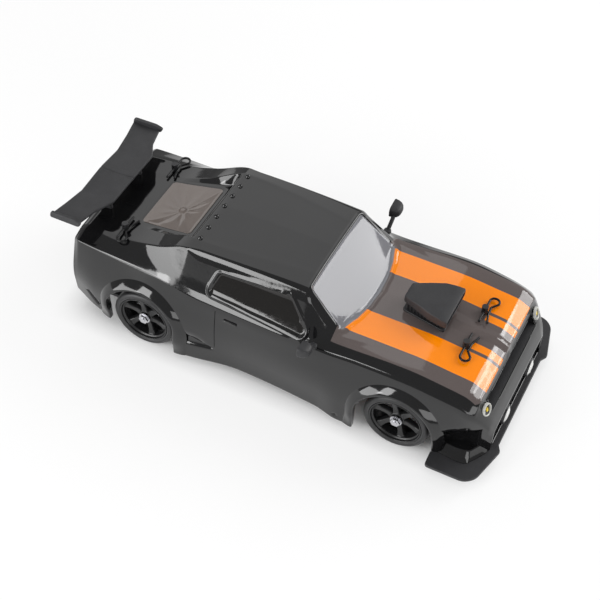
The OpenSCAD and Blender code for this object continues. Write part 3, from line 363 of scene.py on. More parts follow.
shell = {
    "wall": 1.2,
    "sharp": 55,
    "spans": ((tailX, tailX + 8, 0.4), (tailX + 8, frontX + 20, 1.0), (-103, -71, 0.5), (-44, 50, 0.5),
              (headerX - 4, headerX + 6, 0.5), (frontX + 20, lipX - 8, 0.5), (lipX - 8, noseX, 0.25)),
    "samples": (30, 22, 12, 34, 20, 8, 24),
    "cornerSamples": 7,
    "capColumns": 60,
    "soft": (0, 0.4, 0.22, 0.3, 0.25, 0.2, 0.2, 0),
    "crease": {"corner": 2, "least": 0.3, "shoulder": (rearX + 12, 35), "sails": (crownX - 4, 12)},
    # lip: distance from it, depth under the bonnet, share of the fall towards the sides
    "lip": ((-8.2, 2.82, 0.6), (-6, 3.6, 0.6), (-1, 6, 1), (0.2, 6.6, 1), (1.2, 9.8, 1)),
    "tunnelStep": 3.5,
    "archR": tyreR + 5,
    "archSnap": 3,
    "archFar": 99,
    "grille": {"half": 38, "low": 43, "high": 51, "back": lipX - 7, "from": lipX - 6, "snap": 0.4,
               "slack": 0.5},
    "intake": {"half": 41, "low": 16.05, "high": 29.35, "back": noseX - 7},
    "seam": {"x": -34.0, "low": 22, "high": 56, "half": 0.45, "deep": 0.5,
             "columns": np.linspace(-0.6, 0.6, 7)},
    "ridge": {"high": 1.3, "half": 7, "narrowing": 3, "over": 50, "from": frontX - 30, "rise": 20,
              "to": noseX - 6, "fall": 6, "round": 0.8, "rows": 36},
    "hollowFrom": 40,
    # hollows: outline in x and z, rounding, width of the edge, depth
    "hollows": [
        ([(-56, 27), (-56, 19.5), (-36, 20.5)], 2, 2.8, 1.8),
        ([(-128, 24.5), (-119, 16.5), (-118, 18.5), (-126, 25.5)], 0.8, 1.4, 1.4),
        ([(-112, 33), (-111, 34), (-110, 33), (-111, 32)], 0.6, 0.9, 0.9),
        ([(50, 10.5), (51, 11.5), (52, 10.5), (51, 9.5)], 0.8, 0.9, 1.0),
        ([(126, 39.1), (133, 38.3), (133, 37.6), (126, 38.4)], 0.5, 0.7, 0.9),
        ([(112, 5), (138.5, 5), (140, 37), (123, 35), (113, 29)], 1, 8, 5.5),
    ],
    "dish": {"from": -103, "to": -71, "half": (19, 21.5), "deep": 3.6, "boss": 2.2, "bossHigh": 1.4,
             "folds": 5, "sway": 0.8, "foldDeep": 0.45},
}
flankRows = sum(shell["samples"][:2]) + 2 * shell["cornerSamples"]


def lipKeys(fall):
    # the bonnet turns down to a crisp lip, which lies lower towards the sides
    return [(lipX + x, hoodZ - low - share * fall) for x, low, share in shell["lip"]]


bodyLines = {
    "sillY": [(tailX, archY - 12), (rearX - 36, archY - 6), (rearX, archY - 0.5), (rearX + 27, archY - 1),
              (frontX - 107, archY - 6.5), (frontX - 53, archY - 3.5), (frontX - 36, archY),
              (frontX, archY), (frontX + 28, archY - 1.5), (lipX - 6, archY - 5), (noseX, archY - 17)],
    "sillZ": [(tailX, sillZ + 9), (rearX - 30, sillZ + 5), (rearX + 28, sillZ), (frontX - 20, sillZ),
              (frontX + 20, noseZ), (noseX, noseZ)],
    "flankY": [(tailX, archY - 9), (rearX - 36, archY - 4), (rearX, archY), (rearX + 30, archY - 2),
               (frontX - 107, archY - 4.5), (frontX - 36, archY - 0.5), (frontX, archY),
               (frontX + 28, archY - 1.5), (lipX - 6, archY - 5), (noseX, archY - 16)],
    "flankZ": [(tailX, 36), (rearX, 38), (frontX - 90, 33), (frontX, 38), (lipX, 30), (noseX, 24)],
    "shoulderY": [(tailX, archY - 15), (tailX + 5, archY - 12), (rearX, archY - 10),
                  (rearX + 42, archY - 6), (frontX - 62, archY - 5), (frontX - 30, archY - 6),
                  (frontX, archY - 5.5), (lipX - 5, archY - 6), (noseX - 3, archY - 14),
                  (noseX, archY - 18)],
    "shoulderZ": [(tailX, beltZ + 3), (tailX + 5, beltZ + 5), (rearX, beltZ + 4), (rearX + 42, beltZ),
                  (frontX - 62, beltZ), (frontX - 30, hoodZ - 4.5), (frontX, hoodZ - 4),
                  (frontX + 25, hoodZ - 7), (lipX - 4, hoodZ - 12), (noseX - 3, 37), (noseX, 30)],
    "cabinY": [(tailX, archY - 22), (rearX - 10, archY - 17), (rearX + 20, archY - 12),
               (rearX + 42, archY - 10.5), (frontX - 62, archY - 10.5), (cowlX - 2, archY - 14.5),
               (frontX, archY - 12), (lipX, archY - 14), (noseX, archY - 22)],
    "cabinZ": [(tailX, beltZ + 5.5), (tailX + 5, deckZ - 2.5), (rearX - 10, deckZ - 1),
               (rearX + 20, beltZ + 8), (rearX + 42, beltZ + 6), (frontX - 62, beltZ + 4.5),
               (cowlX - 2, hoodZ - 1.5), (frontX, hoodZ), (frontX + 25, hoodZ - 2),
               *lipKeys(0.8), (noseX - 3, 39), (noseX, 32)],
    "roofY": [(tailX, 36), (deckX, 38), (rearX, 39.5), (crownX, 40.5), (headerX, 40), (cowlX - 6, 43),
              (frontX, 34), (noseX, 34)],
    "roofEdge": [(tailX, beltZ + 6), (tailX + 6, deckZ - 1.5), (deckX, deckZ + 0.5), (rearX, deckZ + 6),
                 (crownX, roofZ - 3.5), (headerX - 25, roofZ - 2), (headerX, roofZ - 2.6),
                 (headerX + 4, roofZ - 6), (cowlX - 10.5, hoodZ + 2.8), (cowlX - 7, hoodZ - 0.6),
                 (cowlX, hoodZ - 0.3), (frontX, hoodZ + 0.2), (frontX + 25, hoodZ - 1.8),
                 *lipKeys(0.4), (noseX - 3, 39.5), (noseX, 32.5)],
    "glassY": [(tailX, 20), (deckX, 25), (rearX, 28), (glassX, 31), (crownX, 33), (headerX, 25),
               (cowlX, 22), (noseX, 22)],
    "sailZ": [(tailX, beltZ + 6.5), (tailX + 6, deckZ - 1.2), (deckX, deckZ + 1), (rearX, deckZ + 6.5),
              (crownX, roofZ - 2), (headerX - 20, roofZ - 0.8), (headerX, roofZ - 1.4),
              (headerX + 4, roofZ - 4.8), (cowlX - 6, hoodZ + 2.9), (cowlX - 2, hoodZ - 0.3),
              (cowlX + 2, hoodZ), (frontX, hoodZ + 0.4), (frontX + 25, hoodZ - 1.6),
              *lipKeys(0.1), (noseX - 3, 40), (noseX, 33)],
    "centreZ": [(tailX, beltZ + 7), (tailX + 6, deckZ - 1), (deckX, deckZ + 1.2),
                (glassX - 8, deckZ + 7.2), (glassX, deckZ + 9), (crownX - 2, roofZ - 2),
                (crownX + 4, roofZ - 1), (headerX - 18, roofZ), (headerX, roofZ - 0.8),
                (headerX + 4, roofZ - 4), (cowlX - 5, hoodZ + 3.9), (cowlX - 1, hoodZ + 0.8),
                (cowlX + 3, hoodZ + 0.4), (frontX, hoodZ + 0.6), (frontX + 25, hoodZ - 1.4),
                *lipKeys(0), (noseX - 3, 40), (noseX, 33)],
}


def lineAt(name, x):
    # monotone cubic through the line's keys
    keys = np.array(bodyLines[name], float)
    kx, kv = keys[:, 0], keys[:, 1]
    h = np.diff(kx)
    rise = np.diff(kv) / h
    slope = np.empty(len(kx))
    slope[0], slope[-1] = rise[0], rise[-1]
    for i in range(1, len(kx) - 1):
        both = rise[i - 1] * rise[i]
        slope[i] = 0 if both <= 0 else 2 * both / (rise[i - 1] + rise[i])
    x = np.clip(np.asarray(x, float), kx[0], kx[-1])
    i = np.clip(np.searchsorted(kx, x, "right") - 1, 0, len(h) - 1)
    t = (x - kx[i]) / h[i]
    return ((1 + 2 * t) * (1 - t) ** 2 * kv[i] + t * (1 - t) ** 2 * h[i] * slope[i]
            + t * t * (3 - 2 * t) * kv[i + 1] - t * t * (1 - t) * h[i] * slope[i + 1])


def halfCorners(x):
    # corners of a half section: sill, flank, shoulder, cabin, roof edge, sail, tunnel and middle
    names = (("sillY", "sillZ"), ("flankY", "flankZ"), ("shoulderY", "shoulderZ"), ("cabinY", "cabinZ"),
             ("roofY", "roofEdge"))
    dip = lineAt("centreZ", x)
    glass, sail = lineAt("glassY", x), lineAt("sailZ", x)
    pairs = [(lineAt(a, x), lineAt(b, x)) for a, b in names]
    pairs += [(glass, sail), (glass - shell["tunnelStep"], np.minimum(sail, dip)), (np.zeros_like(x), dip)]
    return np.stack([np.stack(p, -1) for p in pairs], 1)


def cornerSoftness(i, x):
    # the shoulder and the sails are crisp creases behind the doors
    c = shell["crease"]
    value = np.full((len(x), 1), shell["soft"][i], float)
    if i == c["corner"] or i > c["corner"] + 1:
        start, length = c["shoulder"] if i == c["corner"] else c["sails"]
        value *= (c["least"] + (1 - c["least"]) * smooth01((x - start) / length))[:, None]
    return value


def halfSections(x):
    c = halfCorners(x)
    last = c.shape[1] - 1
    rows = []
    start = c[:, 0]
    for i in range(last):
        soft = cornerSoftness(i + 1, x)
        end = c[:, i + 1] + (c[:, i] - c[:, i + 1]) * soft
        n = shell["samples"][i]
        rows += [start + (end - start) * k / n for k in range(n)]
        if i + 1 < last:
            leave = c[:, i + 1] + (c[:, i + 2] - c[:, i + 1]) * soft
            m = shell["cornerSamples"]
            rows += [curve(k / m, end, c[:, i + 1], leave) for k in range(m)]
            start = leave
    rows.append(c[:, last])
    return np.stack(rows, 1)


def skinHeight(x, y):
    section = halfSections(np.array([x]))[0]
    top = section[section[:, 1] > beltZ + 6][::-1]
    return float(np.interp(abs(y), top[:, 0], top[:, 1]))


def flankOut(x, z):
    section = halfSections(np.array([x]))[0]
    side = section[section[:, 1] < beltZ]
    return float(np.interp(z, side[:, 1], side[:, 0]))


def outlineDistance(u, v, outline):
    # signed distance to a closed outline, negative inside
    outline = np.array(outline, float)
    best = np.full(u.shape, 1e9)
    inside = np.zeros(u.shape, bool)
    for (ax, ay), (bx, by) in zip(outline, np.roll(outline, -1, 0)):
        ex, ey = bx - ax, by - ay
        t = np.clip(((u - ax) * ex + (v - ay) * ey) / (ex * ex + ey * ey), 0, 1)
        best = np.minimum(best, np.hypot(u - ax - t * ex, v - ay - t * ey))
        crosses = (ay > v) != (by > v)
        inside ^= crosses & (u < ax + (v - ay) * ex / (ey if ey else 1e-9))
    return np.where(inside, -best, best)


windows = {
    "windscreen": [(headerX + 3.5, -33), (headerX + 3.5, 33), (cowlX - 7.5, 36.5), (cowlX - 4, 26),
                   (cowlX - 1.5, 13), (cowlX - 0.5, 0), (cowlX - 1.5, -13), (cowlX - 4, -26),
                   (cowlX - 7.5, -36.5)],
    "sideGlass": [(-35, 73.5), (9, 76), (21.5, 62), (-38, 65.5)],
    "rearGlass": [(-72, -20), (-72, 20), (-102.5, 18), (-102.5, -18)],
    "round": 2.5,
    "sideFrom": 34,
    "far": 50.0,
    "bowFrom": (headerX - 4, 8),
    "bowTo": (cowlX + 2, 5),
    "pillar": 7,
    "bowUnit": 40,
    "clearCowl": 9,
    "edgeBlend": 4,
    "sink": 0.45,
    "sinkOver": 1.6,
    "lean": 3.5,
    "leanFrom": beltZ + 5,
    "leanOver": 14,
    "frame": 0.5,
    "frameIn": (-0.2, 0.9),
    "frameOut": (2.8, 1.2),
}


def windowDistance(x, y, z):
    w = windows
    screen = outlineDistance(x, y, w["windscreen"]) - w["round"]
    side = outlineDistance(x, z, w["sideGlass"]) - w["round"]
    rear = outlineDistance(x, y, w["rearGlass"]) - w["round"]
    return screen, np.where(np.abs(y) > w["sideFrom"], side, w["far"]), rear


def settleScreen(grid, x):
    # the windscreen bows from pillar to pillar
    w = windows
    reach, top, edge = (lineAt(n, x)[:, None] for n in ("roofY", "centreZ", "roofEdge"))
    bowed = top - (top - edge) * (grid[..., 1] / reach) ** 2
    (start, rise), (stop, fall) = w["bowFrom"], w["bowTo"]
    share = (smooth01((x - start) / rise) * smooth01((stop - x) / fall))[:, None]
    grid[..., 2] += (bowed - grid[..., 2]) * share * smooth01((reach - grid[..., 1]) / w["pillar"])
    # one even bow is then fitted to its middle and blended out at its edges
    away = outlineDistance(grid[..., 0], grid[..., 1], w["windscreen"])
    u, v = (grid[..., 0] - cowlX) / w["bowUnit"], (grid[..., 1] / w["bowUnit"]) ** 2
    terms = np.stack([np.ones_like(u), u, u * u, v, u * v], -1)
    onTop = grid[..., 2] > beltZ
    used = onTop & (away < -w["round"]) & (grid[..., 0] < cowlX - w["clearCowl"])
    bow = np.linalg.lstsq(terms[used], grid[used][:, 2], rcond=None)[0]
    share = onTop * smooth01((w["round"] - away) / w["edgeBlend"])
    grid[..., 2] += (terms @ bow - grid[..., 2]) * share


def cellMean(values):
    return (values[:-1, :-1] + values[1:, :-1] + values[:-1, 1:] + values[1:, 1:]) / 4


def cutArches(grid, keep):
    # cells inside an arch are dropped, and the edge that is left is moved onto the arch
    r = shell["archR"]
    nx, nu = grid.shape[:2]
    for axle in (frontX, rearX):
        dx, dz = grid[..., 0] - axle, grid[..., 2] - axleZ
        away = np.where(dz > 0, np.hypot(dx, dz), np.abs(dx)) - r
        away[:, flankRows:] = shell["archFar"]
        gone = cellMean(away) < 0
        keep &= ~gone
        nearGone, nearKept = np.zeros((nx, nu), bool), np.zeros((nx, nu), bool)
        for i in (0, 1):
            for j in (0, 1):
                nearGone[i:nx - 1 + i, j:nu - 1 + j] |= gone
                nearKept[i:nx - 1 + i, j:nu - 1 + j] |= ~gone
        edge = nearGone & nearKept & (np.abs(away) < shell["archSnap"])
        above, beside = edge & (dz > 0), edge & (dz <= 0)
        reach = np.maximum(np.hypot(dx, dz), 1e-6)
        grid[..., 0] = np.where(above, axle + dx / reach * r, grid[..., 0])
        grid[..., 2] = np.where(above, axleZ + dz / reach * r, grid[..., 2])
        grid[..., 0] = np.where(beside, axle + np.sign(dx) * r, grid[..., 0])


def cutGrille(grid, keep):
    # opening in the slope of the nose, with the nearest points moved onto its edges
    g = shell["grille"]
    onNose = (grid[..., 0] > g["from"]) & (np.arange(grid.shape[1])[None, :] > flankRows)
    edges = ((2, (g["low"], g["high"]), 1, g["half"] + 1),
             (1, (-g["half"], g["half"]), 2, g["high"] + g["slack"]))
    for axis, limits, other, spread in edges:
        for limit in limits:
            close = onNose & (np.abs(grid[..., axis] - limit) < g["snap"]) & (grid[..., other] < spread)
            close &= grid[..., 2] > g["low"] - g["slack"]
            grid[..., axis] = np.where(close, limit, grid[..., axis])
    at = cellMean(grid)
    keep &= ~((at[..., 0] > g["from"]) & (at[..., 1] < g["half"]) & (at[..., 2] > g["low"])
              & (at[..., 2] < g["high"]))


def pressFlanks(grid):
    # door seam and pressed hollows
    s = shell["seam"]
    seam = 1 - smooth01(np.abs(grid[..., 0] - s["x"]) / s["half"])
    seam *= smooth01(grid[..., 2] - s["low"]) * smooth01(s["high"] - grid[..., 2])
    grid[..., 1] -= s["deep"] * seam
    for outline, rounding, edge, deep in shell["hollows"]:
        away = outlineDistance(grid[..., 0], grid[..., 2], outline) - rounding
        grid[..., 1] -= deep * smooth01(-away / edge) * (grid[..., 1] > shell["hollowFrom"])


def raiseRidge(grid):
    # ridge down the middle of the bonnet
    r = shell["ridge"]
    x, nu = grid[..., 0], grid.shape[1]
    along = smooth01((x - r["from"]) / r["rise"]) * smooth01((r["to"] - x) / r["fall"])
    half = r["half"] - r["narrowing"] * smooth01((x - frontX) / r["over"])
    onTop = np.arange(nu)[None, :] > nu - r["rows"]
    grid[..., 2] += onTop * r["high"] * along * np.clip(1 - grid[..., 1] / half, 0, 1) ** r["round"]


def sinkWindows(grid):
    # windows sit a little below the paint, the front ones in a raised frame
    w = windows
    along, across = np.gradient(grid, axis=0), np.gradient(grid, axis=1)
    normal = np.cross(across, along)
    normal /= np.maximum(np.linalg.norm(normal, axis=2), 1e-9)[..., None]
    normal *= np.sign(normal[..., 2:3] * 0.5 + normal[..., 1:2] + 1e-9)
    distance = windowDistance(grid[..., 0], grid[..., 1], grid[..., 2])
    screenSink, sideSink, rearSink = (smooth01(0.5 - d / w["sinkOver"]) for d in distance)
    lean = 1 + w["lean"] * np.clip((grid[..., 2] - w["leanFrom"]) / w["leanOver"], 0, 1)
    sink = screenSink + sideSink * lean + rearSink
    (inner, rise), (outer, fall) = w["frameIn"], w["frameOut"]
    raised = sum(smooth01((d - inner) / rise) * smooth01((outer - d) / fall) for d in distance[:2])
    grid += normal * (w["frame"] * raised - w["sink"] * sink)[..., None]
    return distance


def dishRearWindow(grid):
    # the rear window is dished, with folds that run out from a small boss
    d = shell["dish"]
    u = 2 * (grid[..., 0] - d["from"]) / (d["to"] - d["from"]) - 1
    v = grid[..., 1] / np.interp(grid[..., 0], (d["from"], d["to"]), d["half"])
    depth = np.clip(1 - np.maximum(np.abs(u), np.abs(v)), 0, 1)
    around = np.arctan2(v, u)
    fold = np.abs(np.sin(d["folds"] * around + d["sway"] * np.sin(2 * around)))
    grid[..., 2] -= d["deep"] * depth + d["foldDeep"] * fold * 4 * depth * (1 - depth)
    boss = np.hypot(grid[..., 0] - (d["from"] + d["to"]) / 2, grid[..., 1]) / d["boss"]
    grid[..., 2] += d["bossHigh"] * smooth01(1.5 - boss)


def tailPanel(rim):
    # flat panel across the tail
    across = np.linspace(1, -1, shell["capColumns"] + 1)
    panel = np.repeat(rim[:, None], len(across), 1)
    panel[..., 1] *= across
    return panel


def noseFrame(rim):
    # frame between the rim of the nose and the lower intake
    i = shell["intake"]
    across = np.linspace(-rim[0, 1], rim[0, 1], shell["capColumns"] + 2)[1:-1]
    base = np.array([(noseX, y, rim[0, 2]) for y in across])
    outer = np.concatenate([base, rim, (rim * (1, -1, 1))[-2::-1]])
    inner = np.stack([outer[:, 0], np.clip(outer[:, 1], -i["half"], i["half"]),
                      np.clip(outer[:, 2], i["low"], i["high"])], 1)
    around = np.stack([outer + (inner - outer) * t for t in (0, 0.5, 1)])
    return np.concatenate([around, around[:, :1]], 1)


def buildShell():
    s = shell
    runs = [np.arange(*span) for span in s["spans"]]
    seam = s["seam"]["x"] + s["seam"]["columns"]
    x = np.unique(np.round(np.concatenate(runs + [seam, [noseX]]), 3))
    section = halfSections(x)
    nx, nu = section.shape[:2]
    grid = np.empty((nx, nu, 3))
    grid[..., 0] = x[:, None]
    grid[..., 1:] = section
    keep = np.ones((nx - 1, nu - 1), bool)
    settleScreen(grid, x)
    cutArches(grid, keep)
    cutGrille(grid, keep)
    pressFlanks(grid)
    raiseRidge(grid)
    distance = sinkWindows(grid)
    dishRearWindow(grid)
    half = grid.reshape(-1, 3)
    points = np.concatenate([half, half * (1, -1, 1)])
    flipped = [0, 3, 2, 1]
    kept = quads(np.arange(nx * nu).reshape(nx, nu))[keep]
    faces = [np.stack([kept, kept[:, flipped] + nx * nu], 1).reshape(-1, 4)]
    for cap in (tailPanel(grid[0, :-1]), noseFrame(grid[-1])):
        n, m = cap.shape[:2]
        spot = quads(len(points) + np.arange(n * m).reshape(n, m))
        faces.append(spot[..., flipped].reshape(-1, 4))
        points = np.concatenate([points, cap.reshape(-1, 3)])
    piece = addMesh("bodyShell", points, np.concatenate(faces).tolist())
    # each window's distance is kept on the points, for the paint
    extra = np.full(len(points) - 2 * nx * nu, windows["far"])
    for name, away in zip(("windscreen", "sideGlass", "rearGlass"), distance):
        layer = piece.data.attributes.new(name, "FLOAT", "POINT")
        value = np.concatenate([away.reshape(-1), away.reshape(-1), extra])
        layer.data.foreach_set("value", value.astype(np.float32))
    work = bmesh.new()
    work.from_mesh(piece.data)
    loose = [v for v in work.verts if not v.link_faces]
    bmesh.ops.delete(work, geom=loose, context="VERTS")
    bmesh.ops.remove_doubles(work, verts=work.verts, dist=2e-5)
    bmesh.ops.dissolve_degenerate(work, edges=work.edges, dist=1e-6)
    bmesh.ops.recalc_face_normals(work, faces=work.faces)
    work.to_mesh(piece.data)
    work.free()
    piece.data.polygons.foreach_set("use_smooth", [True] * len(piece.data.polygons))
    piece.data.set_sharp_from_angle(angle=math.radians(s["sharp"]))
    return thicken(piece, s["wall"])


# stripes and bands are (from, to) in millimetres, and shades are the two ends of a colour's mottle
paint = {
    "colours": {"black": shellBlack, "gunmetal": srgb(92, 83, 81), "orange": srgb(255, 138, 4)},
    "shades": {"black": (0.85, 1.15), "gunmetal": (0.88, 1.1), "orange": (0.94, 1.03)},
    # window colours: the rear glass keeps its own smoke, the side glass is that smoke darkened to a painted
    # shade, and the windscreen's light grey is a painted reflection of a soft box
    "glass": {"sideGlass": srgb(17, 15, 13), "rearGlass": srgb(108, 99, 94),
              "windscreen": srgb(120, 121, 126)},
    "stripe": (17.4, 37.2),
    "thinStripe": (9.6, 15.0),
    "thinAlong": (frontX + 26, noseX),
    "band": (-1, 48.5),
    "along": (cowlX - 9, noseX),
    "height": (55.2, 70),
    "blur": 0.12,
    "glassBlur": 0.15,
    "cloud": 60,
    "flake": 5000,
    "peel": 260,
    "peelDeep": 0.00002,
    "rough": (0.05, 0.09),
}


def shellPaint():
    c = paint
    material, tree, shader = newFinish("shellPaint")
    point = objectPoint(tree)
    place = addNode(tree, "ShaderNodeSeparateXYZ", (("Vector", point),)).outputs
    across = combine(tree, "ABSOLUTE", place["Y"])

    def inBand(value, limits):
        edges = [between(tree, value, 0, 1, (at - blur) * mm, (at + blur) * mm)
                 for at, blur in zip(limits, (c["blur"], -c["blur"]))]
        return combine(tree, "MULTIPLY", *edges)

    def isGlass(name):
        away = addNode(tree, "ShaderNodeAttribute", attribute_name=name).outputs["Fac"]
        return between(tree, away, 0, 1, c["glassBlur"], -c["glassBlur"])

    def mottled(name, grain):
        dark, pale = (shaded(c["colours"][name], share) for share in c["shades"][name])
        return mixColour(tree, between(tree, grain, 0, 1), dark, pale)

    onHood = combine(tree, "MULTIPLY", inBand(place["X"], c["along"]), inBand(place["Z"], c["height"]))
    thin = combine(tree, "MULTIPLY", inBand(across, c["thinStripe"]), inBand(place["X"], c["thinAlong"]))
    both = combine(tree, "MAXIMUM", inBand(across, c["stripe"]), thin)
    stripes = combine(tree, "MULTIPLY", both, onHood)
    band = combine(tree, "MULTIPLY", inBand(across, c["band"]), onHood)
    flake = noise(tree, point, c["flake"], 1)
    colour = mottled("black", noise(tree, point, c["cloud"]))
    colour = mixColour(tree, band, colour, mottled("gunmetal", flake))
    colour = mixColour(tree, stripes, colour, mottled("orange", flake))
    # window colours over the paint: painted shade on the side glass and a painted reflection on the
    # windscreen
    for name, tintAndPaintedLight in c["glass"].items():
        colour = mixColour(tree, isGlass(name), colour, tintAndPaintedLight)
    tree.links.new(colour, shader.inputs["Base Color"])
    peel = noise(tree, point, c["peel"], 2)
    tree.links.new(between(tree, peel, *c["rough"]), shader.inputs["Roughness"])
    shader.inputs["IOR"].default_value = shellIor
    addBump(tree, shader, peel, c["peelDeep"])
    return material


bodyShell = fit(buildShell(), shellPaint(), "chassis", ["body_shell"])
print("stage: shell built,", len(bodyShell.data.polygons), "faces")

# front splitter: a flat plate with rounded corner wings

(plateBack, _, plateLow), (plateFront, plateHalf, plateHigh) = boxMm("front_splitter")
splitter = {
    "outline": [(plateFront - 2.6, 37.5), (plateFront, 42), (plateFront - 6, plateHalf - 5),
                (plateFront - 12, plateHalf), (plateBack, plateHalf), (plateBack - 0.5, plateHalf - 11),
                (frontX + tyreR + 8, plateHalf - 13)],
    "radii": [0.8, 1.4, 4, 4, 2.5, 1, 1],
    "edge": 0.5,
}


def buildSplitter():
    left, radii = splitter["outline"], splitter["radii"]
    whole = left + [(x, -y) for x, y in reversed(left)]
    outline = roundedOutline(whole, radii + radii[::-1])
    return solid("frontSplitter", plate(outline, plateLow, plateHigh), splitter["edge"], 3, 35)


fit(buildSplitter(), finishes["mattePlastic"], "chassis", ["front_splitter"])
print("stage: splitter built")

# rear wing: gull-shaped plate with a centre seam, raked end plates and two stays.
# lead, trail, endPlate and the stays are (distance behind the rear axle, height)

wing = {
    "acrossLead": (0, 24, 36, 49.5),
    "lead": ((37.5, 79.6), (38, 78.6), (44.5, 77.6), (47.5, 77.6)),
    "acrossTrail": (0, 21.5, 36, 50.5),
    "trail": ((62, 78.6), (63, 75.2), (64.5, 76.6), (67, 77.4)),
    "samples": (161, 17),
    "knee": np.linspace(-0.9, 0.9, 5),
    "thick": 1.7,
    "camber": 0.9,
    "seam": 0.5,
    "seamHalf": 0.7,
    "edge": 0.4,
    "endPlate": ((46.5, 76.3), (67.4, 76), (66.6, 80.6), (50, 81.2), (45, 79.6)),
    "endRound": 1.6,
    "endIn": 0.4,
    "endThick": 1.6,
    "stayFoot": (43, 52),
    "staySunk": 0.4,
    "stayHead": ((45, 76.5), (57, 75.2)),
    "stayBend": 1.6,
    "stayRows": 9,
    "stayY": 18,
    "stayThick": 2.2,
    "stayEdge": 0.5,
}


def buildWing():
    w = wing
    across, chord = (np.linspace(low, 1, n) for low, n in zip((-1, 0), w["samples"]))
    rows = []
    for edge, reach in (("lead", w["acrossLead"]), ("trail", w["acrossTrail"])):
        y = across * reach[-1]
        x, z = (np.mean([np.interp(np.abs(y + k), reach, [p[i] for p in w[edge]]) for k in w["knee"]], 0)
                for i in (0, 1))
        rows.append(np.stack([rearX - x, y, z], 1))
    lead, trail = rows
    grid = lead[:, None] + (trail - lead)[:, None] * chord[None, :, None]
    grid[..., 2] -= 4 * w["camber"] * (chord * (1 - chord))[None]
    grid[..., 2] -= w["seam"] * np.clip(1 - np.abs(grid[..., 1]) / w["seamHalf"], 0, 1)
    n, m = grid.shape[:2]
    faces = quads(np.arange(n * m).reshape(n, m)).reshape(-1, 4).tolist()
    piece = outward(addMesh("rearWing", grid.reshape(-1, 3), faces))
    return softenEdges(thicken(piece, w["thick"], 0), w["edge"], 2, 50)


def buildEndPlates():
    w = wing
    outline = roundedOutline([(rearX - x, z) for x, z in w["endPlate"]], w["endRound"])
    tip = w["acrossLead"][-1]
    part = lofted([[(x, y, z) for x, z in outline] for y in (tip - w["endIn"], tip + w["endThick"])])
    return solid("wingEndPlates", bothSides(part), w["edge"])


def buildStays():
    w = wing
    half = w["stayThick"] / 2
    feet = [(rearX - x, float(lineAt("sailZ", rearX - x)) - w["staySunk"]) for x in w["stayFoot"]]
    heads = [(rearX - x, z) for x, z in w["stayHead"]]
    rings = []
    for t in np.linspace(0, 1, w["stayRows"]):
        bend = w["stayBend"] * t * (1 - t)
        a, b = [((1 - t) * f[0] + t * h[0] + bend, (1 - t) * f[1] + t * h[1]) for f, h in zip(feet, heads)]
        around = ((-half, a), (half, a), (half, b), (-half, b))
        rings.append([(x, w["stayY"] + y, z) for y, (x, z) in around])
    return solid("wingStays", bothSides(lofted(rings)), w["stayEdge"])


for wingPiece in (buildWing(), buildEndPlates(), buildStays()):
    fit(wingPiece, finishes["mattePlastic"], "chassis", ["rear_wing"])
print("stage: wing built")

# bonnet scoop: a hat that widens forwards to an open mouth, on a ribbed neck with a flange

scoop = {
    "stations": (0, 0.6, 2.5, 10, 19, 25, 30.2, 31),
    "half": (5.4, 6.4, 7.0, 10, 13.8, 15, 15.6, 15.2),
    "under": (69.8, 69.3, 69.1, 69.3, 69.6, 69.8, 70, 70.3),
    "top": (73.2, 74.0, 74.4, 75.6, 76.2, 76.0, 75.6, 75.2),
    "round": 0.7,
    "wall": 1.3,
    "mouth": (0.0, 1.0, 13),
    "mouthRound": 0.8,
    "neck": (2, 28),
    "neckHalf": (6.2, 11),
    "neckLow": hoodZ - 0.2,
    "ribs": 11,
    "rib": (-0.3, 0.5),
    "flangeOut": 1.5,
    "flangeHalf": (8, 13),
    "flangeRound": 2,
    "flangeZ": (hoodZ - 0.6, hoodZ + 1.5),
    "edge": 0.2,
}
scoopX = boxMm("hood_scoop")[0][0]


def roundedRing(x, half, low, high, radius, steps=5):
    ring = []
    for cy, cz, turn in ((1, 1, 0), (-1, 1, 90), (-1, -1, 180), (1, -1, 270)):
        for k in range(steps + 1):
            a = math.radians(turn + 90 * k / steps)
            ring.append((x, cy * (half - radius) + radius * math.cos(a),
                         (high - radius if cz > 0 else low + radius) + radius * math.sin(a)))
    return ring


def buildScoop():
    c = scoop
    keys = [c[k] for k in ("half", "under", "top")]
    rings = [roundedRing(scoopX + x, *sizes, c["round"]) for x, *sizes in zip(c["stations"], *keys)]
    for back in c["mouth"]:
        x = c["stations"][-1] - back
        half, low, high = (np.interp(x, c["stations"], v) for v in keys)
        inside = half - c["wall"], low + c["wall"], high - c["wall"]
        rings.append(roundedRing(scoopX + x, *inside, c["mouthRound"]))
    return solid("hoodScoop", lofted(rings), c["edge"], angle=45)


def buildScoopNeck():
    c = scoop
    side = []
    for k, x in enumerate(np.linspace(*c["neck"], 4 * c["ribs"] + 1)):
        onRib = k % 4 in (1, 2)
        side.append((scoopX + x, np.interp(x, c["neck"], c["neckHalf"]) + c["rib"][onRib]))
    neck = plate(side + [(x, -y) for x, y in reversed(side)], c["neckLow"], c["under"][-1])
    rear, front = scoopX + c["neck"][0] - c["flangeOut"], scoopX + c["neck"][1] + c["flangeOut"]
    narrow, wide = c["flangeHalf"]
    foot = [(rear, narrow), (front, wide), (front, -wide), (rear, -narrow)]
    foot = roundedOutline(foot, c["flangeRound"])
    return solid("scoopNeck", joined([neck, plate(foot, *c["flangeZ"])]), c["edge"])


fit(buildScoop(), finishes["mattePlastic"], "chassis", ["hood_scoop"])
fit(buildScoopNeck(), finishes["satinPlastic"], "chassis", ["hood_scoop"])
print("stage: scoop built")

# door mirrors: domed head with a sunk glass, a short stalk and a foot.
# glass and profile are (distance forwards, share of the half size)

